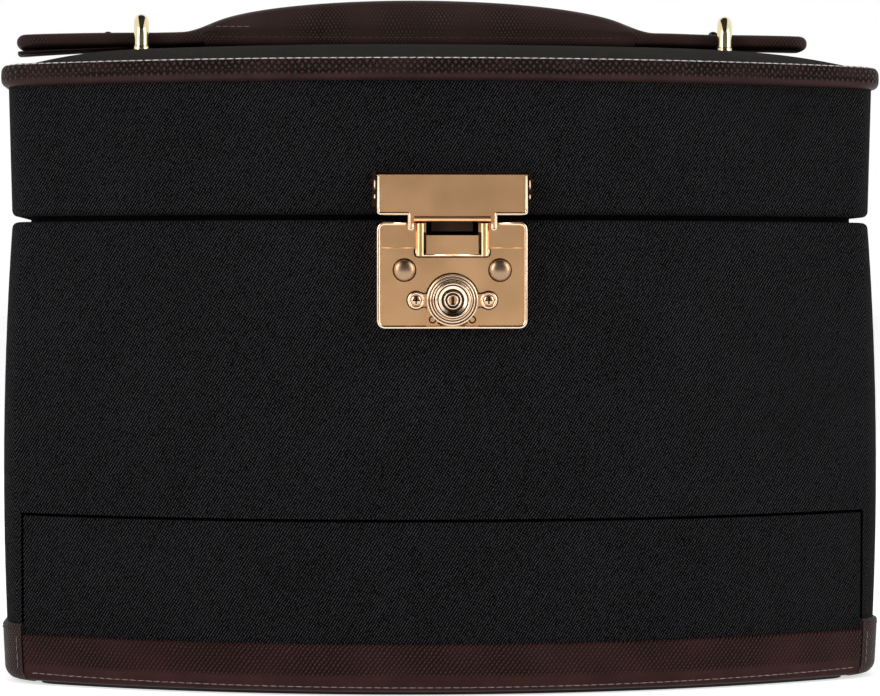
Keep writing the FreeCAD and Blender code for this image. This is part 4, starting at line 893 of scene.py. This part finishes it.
STUD_LEVELS = STRAP_TOP + np.array([-0.5, 0.1, 0.5, 1.1, 1.5, 1.65])
STUD_RADII = (1.5, 1.75, 1.8, 1.55, 0.9, 0.15)
STUD_LEFT_X, STUD_LEFT_DROP, STUD_RIGHT_X = -128.0, 0.9, 110.4
FLAP_TIP, FLAP_ROOT = -162.6, -119.0
FLAP_HALF, FLAP_ROUND = 7.0, 3.0
FLAP_DROP, FLAP_FALL = 2.9, 0.6
FLAP_THIN, FLAP_THICKER = 0.3, 0.5
LOOP_REACH, LOOP_FOOT, LOOP_BAR = 16.2, 229.0, 250.1
LOOP_WIRE, LOOP_ROUND = 2.9, 7.5
LOOPS = (("left", -115.0, -0.037), ("right", 115.0, 0.143))
COLLAR_RADII = (2.9, 3.3, 3.35, 3.2, 3.0, 2.92)
COLLAR_LEVELS = (236.0, 236.4, 238.9, 239.4, 239.8, 240.2)


def studs():
    """A domed stud on each end of the strap."""
    turned("strap_stud_left", STUD_LEFT_X, 0.0, STUD_RADII, STUD_LEVELS - STUD_LEFT_DROP, BLACK_METAL,
           "steel", "tail_left")
    right = turned("strap_stud_right", STUD_RIGHT_X, 0.0, STUD_RADII, STUD_LEVELS, BLACK_METAL,
                   "steel", None)
    bend_with(right)


def under_flap():
    """Thin flap under the strap's left end: a rounded box section that thickens and falls away from the
    strap in a straight line towards its tip, with the corners of its plan rounded by circles."""
    length = FLAP_ROOT - FLAP_TIP
    x = (FLAP_ROOT + FLAP_TIP) / 2 + length / 2 * np.sin(np.linspace(-QUARTER, QUARTER, 36))
    y, z = oval(1.0, 1.0, 3.6, 40)
    near = np.clip(1.0 - np.minimum(x - FLAP_TIP, FLAP_ROOT - x) / FLAP_ROUND, 0.0, 1.0)
    half = FLAP_HALF + FLAP_ROUND * np.sqrt(1.0 - near ** 2)
    away = (FLAP_ROOT - x) / length
    thick = FLAP_THIN + FLAP_THICKER * away
    level = strap_line(x) - FLAP_DROP - FLAP_FALL * away - thick
    mesh = tube("strap_under_flap", x, half[:, None] * y, level[:, None] + thick[:, None] * z)
    piece("strap_under_flap", mesh, STRAP_LEATHER, "handle_leather", "tail_left", "strap_flap")


def wire_loop(side, x, lean):
    """Round wire bent over the strap: a circle carried up one leg, over and down the other, with corners
    rounded by quadratic curves, in an upright plane turned a little from square, and a collar where
    each leg leaves the pad."""
    path = bent_line([(-LOOP_REACH, LOOP_FOOT), (-LOOP_REACH, LOOP_BAR), (LOOP_REACH, LOOP_BAR),
                      (LOOP_REACH, LOOP_FOOT)], LOOP_ROUND, 16)
    ahead = unit(np.gradient(path, axis=0))
    out, over = (LOOP_WIRE * part for part in circle(24))
    along = path[:, :1] - ahead[:, 1:] * out
    level = path[:, 1:] + ahead[:, :1] * out
    points = np.stack([x + along * math.sin(lean) + over * math.cos(lean),
                       along * math.cos(lean) - over * math.sin(lean), level], 2)
    mesh = surface("wire_loop_" + side, points, caps=True)
    piece("wire_loop_" + side, mesh, BRASS, "loop_brass", "lid", "handle_loop_" + side)
    for row, reach in (("front", -LOOP_REACH), ("back", LOOP_REACH)):
        turned("loop_collar_%s_%s" % (side, row), x + reach * math.sin(lean), reach * math.cos(lean),
               COLLAR_RADII, COLLAR_LEVELS, BRASS, "loop_brass", "lid")


strap("left")
strap("right")
grip()
studs()
under_flap()
for loop in LOOPS:
    wire_loop(*loop)


# Lock: rolled rims, rings and the keyhole, with dark beads of painted shade along its grooves and seams

LOCK_FACE, HASP_AHEAD = -119.9, 1.2
PLATE_RIM = ((-16.6, 169.6), (-26.4, 169.6), (-26.4, 132.6), (26.4, 132.6), (26.4, 169.6), (16.6, 169.6))
HASP_RIM = ((26.5, 186.6), (26.5, 173.2), (15.5, 173.2), (15.5, 167.6), (14.2, 167.6), (14.2, 169.6))
NECK = ((9.0, 2.9), (9.7, 2.35), (10.5, 2.35), (11.1, 2.8))
NECK_TOP, NECK_FOOT = ([(x, KEY_Z + up * z) for x, z in NECK] for up in (1.0, -1.0))


def ring_line(x, z, radius, steps=56):
    """Points round a circle on the face of the lock."""
    c, s = circle(steps)
    return np.stack([x + radius * c, z + radius * s], 1)


def bead(name, path, ahead, radius, skin, body, closed=False):
    """Round bead along a line drawn on the face of the lock: a circle carried along points of x and z."""
    path = np.asarray(path, float)
    way = np.roll(path, -1, 0) - np.roll(path, 1, 0) if closed else np.gradient(path, axis=0)
    way = unit(way)
    beside = np.stack([-way[:, 1], way[:, 0]], 1)
    c, s = circle(12)
    flat = path[:, None] + beside[:, None] * (radius * c)[:, None]
    deep = np.broadcast_to(LOCK_FACE - ahead - radius * s, flat.shape[:2])
    points = np.stack([flat[..., 0], deep, flat[..., 1]], 2)
    piece(name, surface(name, points, closed, not closed), skin, "lock_metal", body)


# Lines of the right half, mirrored for the left: name, corners in x and z and their rounding, how far
# ahead of the lock plate's face, radius, finish, body
SIDE_LINES = (
    ("hasp_rim_%s", HASP_RIM, 0.62, HASP_AHEAD + 0.05, 0.5, POLISHED_HIGHLIGHT_GOLD, "hasp_flap"),
    # short bright beads on the hasp base's sides, set there as painted glints
    ("base_edge_%s_0", ((27.75, 178.3), (27.75, 179.9)), 0.0, 0.55, 0.28, POLISHED_HIGHLIGHT_GOLD, "lid"),
    ("base_edge_%s_1", ((27.75, 181.7), (27.75, 185.0)), 0.0, 0.55, 0.28, POLISHED_HIGHLIGHT_GOLD, "lid"),
    ("hump_foot_%s", ((12.9, 160.4), (12.9, 158.3), (0.0, 158.3)), 1.3, 1.0, 0.42, POLISHED_HIGHLIGHT_GOLD, "case"),
    # dark line painted as the shadow under the hump's foot
    ("hump_edge_%s", ((13.5, 160.4), (13.5, 157.7), (0.0, 157.7)), 1.5, 0.08, 0.3, PAINTED_SHADE_METAL, "case"),
    # dark strips painted as the shade inside the slots beside the hump's panel
    ("hump_slot_%s", ((9.85, 158.8), (9.85, 166.4)), 0.0, 1.0, 0.6, PAINTED_SHADE_METAL, "case"),
    ("plate_crease_%s", ((13.9, 160.9), (25.4, 160.9)), 0.0, -0.06, 0.14, ROSE_GOLD, "case"),
    ("neck_top_%s", NECK_TOP, 0.3, 0.5, 0.26, PAINTED_SHADE_METAL, "case"),
    ("neck_foot_%s", NECK_FOOT, 0.3, 0.5, 0.26, PAINTED_SHADE_METAL, "case"),
)
# Rings of the right half, moved across for the left: name, then middle, radius and steps of the ring,
# and the rest as for the lines
SIDE_RINGS = (
    ("ear_ring_%s", (EAR_X, KEY_Z, 2.55, 32), 1.05, 0.5, POLISHED_HIGHLIGHT_GOLD, "case"),
    ("ear_edge_%s", (EAR_X, KEY_Z, 3.16, 36), 0.2, 0.3, PAINTED_SHADE_METAL, "case"),
    ("tab_ring_%s", (7.1, 135.3, 1.15, 24), 1.0, 0.28, PAINTED_SHADE_METAL, "case"),
    ("rivet_seat_%s", (17.1, 153.0, 4.0, 40), -0.02, 0.28, PAINTED_SHADE_METAL, "case"),
)
# Rings round the middle of the key plug, by finish, the dark ones painted shade in grooves and wells: name,
# radius of the ring, how far ahead, radius, body
KEY_RINGS = {
    POLISHED_HIGHLIGHT_GOLD: (
        ("scutcheon_ring_0", 8.78, 1.1, 0.4, "case"),
        ("scutcheon_ring_1", 7.74, 1.6, 0.36, "case"),
        ("scutcheon_ring_2", 6.93, 2.1, 0.2, "case"),
        ("button_rim", 5.97, 3.95, 0.42, "button"),
        ("plug_rim", 2.94, 3.4, 0.33, "plug"),
        ("plug_collar", 1.76, 3.4, 0.26, "plug"),
    ),
    PAINTED_SHADE_METAL: (
        ("scutcheon_groove_0", 9.5, 0.12, 0.36, "case"),
        ("scutcheon_groove_1", 8.3, 1.28, 0.34, "case"),
        ("scutcheon_groove_2", 7.27, 1.8, 0.3, "case"),
        ("button_groove", 5.38, 3.87, 0.26, "button"),
        ("button_well", 3.76, 3.3, 0.36, "button"),
        ("plug_groove", 2.34, 3.4, 0.28, "plug"),
    ),
}
NOTCH_RADIUS, NOTCH_STEPS = 4.7, slice(39, 46)
KEYHOLE = ((0.0, KEY_Z - 1.5), (0.0, KEY_Z), (0.0, KEY_Z + 1.1))


def lock_trim():
    """Beads for every line and ring of the lock, the dark ones painted shade and the bright ones partly
    painted highlight.
    """
    bead("plate_rim", bent_line(PLATE_RIM, 2.6), 0.1, 0.62, POLISHED_HIGHLIGHT_GOLD, "case")
    for side, sign in (("left", -1.0), ("right", 1.0)):
        for name, corners, rounding, *rest in SIDE_LINES:
            bead(name % side, bent_line(np.array(corners) * (sign, 1.0), rounding), *rest)
        for name, (x, z, radius, steps), *rest in SIDE_RINGS:
            bead(name % side, ring_line(x * sign, z, radius, steps), *rest, True)
    for skin, rings in KEY_RINGS.items():
        for name, radius, ahead, thick, body in rings:
            bead(name, ring_line(0.0, KEY_Z, radius), ahead, thick, skin, body, True)
    bead("button_notch", ring_line(0.0, KEY_Z, NOTCH_RADIUS)[NOTCH_STEPS], 3.6, 0.55, PAINTED_SHADE_METAL, "button")
    bead("keyhole", KEYHOLE, 3.25, 0.5, PAINTED_SHADE_METAL, "plug")


lock_trim()


# Felt mats on the two floors

MAT_STATIONS = 240
MAT_SHRINK = np.concatenate([[1.0, 1.0, 0.998, 0.992, 0.98], np.linspace(0.96, 0.0, 12)])
MAT_RISE = np.concatenate([[0.0, 0.5, 0.85, 0.97], np.ones(13)])
DRAWER_FLOOR = Round(half=146.0, front=105.3, back=92.4, bow=290.4, corner=3.5, rear=1.0)


def mat(name, path, low, high, out, skin, body, node):
    """Felt mat: a thin cushion whose top rounds down to its edge, filled towards its middle."""
    rim, _, facing = path.at(path.even(MAT_STATIONS))
    rim = rim + facing * out
    middle = rim.mean(0)
    flat = middle + (rim - middle) * MAT_SHRINK[:, None, None]
    level = (low + (high - low) * MAT_RISE)[:, None, None]
    points = np.concatenate([flat, np.broadcast_to(level, (*flat.shape[:2], 1))], 2)
    piece(name, surface(name, points[:, ::-1]), skin, "lining", body, node)


mat("compartment_felt", CASE, 70.05, 71.2, -8.6, LINING, "case", "floor_pad")
mat("drawer_felt_mat", DRAWER_FLOOR, 12.02, 13.0, 0.0, FELT, "drawer", "drawer_felt")


# Floor, light and background, in metres

FLOOR_FAR, FLOOR_GLOW = 12.0, 0.6
BACKDROP_LIGHT = 0.4
WHITE = (1.0, 1.0, 1.0, 1.0)


def seen_straight(tree):
    """One for rays from the camera, in reflections and through glass, none for light that bounces."""
    ray = put(tree, "LightPath", {}).outputs
    seen = sums(tree, "MAXIMUM", ray["Is Camera Ray"], ray["Is Glossy Ray"])
    return sums(tree, "MAXIMUM", seen, ray["Is Transmission Ray"])


def stage_card(name, corners, shade, rough, shine):
    """One four-cornered face of the studio, with its tree of nodes and its shader."""
    mesh = bpy.data.meshes.new(name)
    mesh.from_pydata(corners, [], [(0, 1, 2, 3)])
    item = add(name, mesh)
    skin, tree, shader = finish(name)
    colour = (shade, shade, shade, 1.0)
    feed(tree, shader, {"Base Color": colour, "Roughness": rough, "Specular IOR Level": shine})
    mesh.materials.append(skin)
    return item, tree, shader


def floor():
    """Pale floor that takes the shadow and looks white to the camera."""
    far = FLOOR_FAR
    corners = [(-far, -far, 0.0), (far, -far, 0.0), (far, far, 0.0), (-far, far, 0.0)]
    _, tree, shader = stage_card("studio_floor", corners, 0.8, 0.9, 0.1)
    glow = sums(tree, "MULTIPLY", seen_straight(tree), FLOOR_GLOW)
    feed(tree, shader, {"Emission Color": WHITE, "Emission Strength": glow})


def backdrop():
    """White to the camera and in reflections, softer as a light."""
    world = bpy.data.worlds.new("studio")
    bpy.context.scene.world = world
    world.use_nodes = True
    tree = world.node_tree
    level = spread(tree, seen_straight(tree), 0.0, 1.0, BACKDROP_LIGHT, 1.0)
    feed(tree, tree.nodes["Background"], {"Color": WHITE, "Strength": level})


def dark_card(name, shade, corners):
    """Dark card in the studio that only reflections see, so that polished metal has a dark band."""
    item = stage_card(name, corners, shade, 1.0, 0.0)[0]
    for kind in ("camera", "diffuse", "shadow", "transmission"):
        setattr(item, "visible_" + kind, False)


def lamp(name, place, aim, size, power, mirrored=True):
    """Softbox at a place, turned to its aim, that reflections may be kept from seeing."""
    data = bpy.data.lights.new(name, "AREA")
    data.shape = "RECTANGLE"
    data.size, data.size_y = size
    data.energy = power
    item = add(name, data)
    turn = (Vector(aim) - Vector(place)).to_track_quat("-Z", "Y").to_matrix().to_4x4()
    item.matrix_world = Matrix.Translation(Vector(place)) @ turn
    item.visible_glossy = mirrored


floor()
backdrop()
dark_card("front_card", 0.2, [(-1.5, -2.3, -0.05), (1.5, -2.3, -0.05), (1.5, -2.3, 1.9), (-1.5, -2.3, 1.9)])
dark_card("roof_card", 0.05, [(-1.1, -2.3, 1.9), (1.1, -2.3, 1.9), (1.1, 2.4, 2.3), (-1.1, 2.4, 2.3)])
lamp("left_softbox", (-1.5, -1.3, 0.9), (0.0, 0.0, 0.12), (0.9, 1.4), 18.0)
lamp("right_softbox", (1.6, -1.0, 0.8), (0.0, 0.0, 0.12), (0.8, 1.4), 14.0)
lamp("top_softbox", (0.0, -0.3, 1.7), (0.0, 0.0, 0.1), (1.6, 1.2), 9.0, False)
bpy.context.scene.view_settings.view_transform = "Standard"
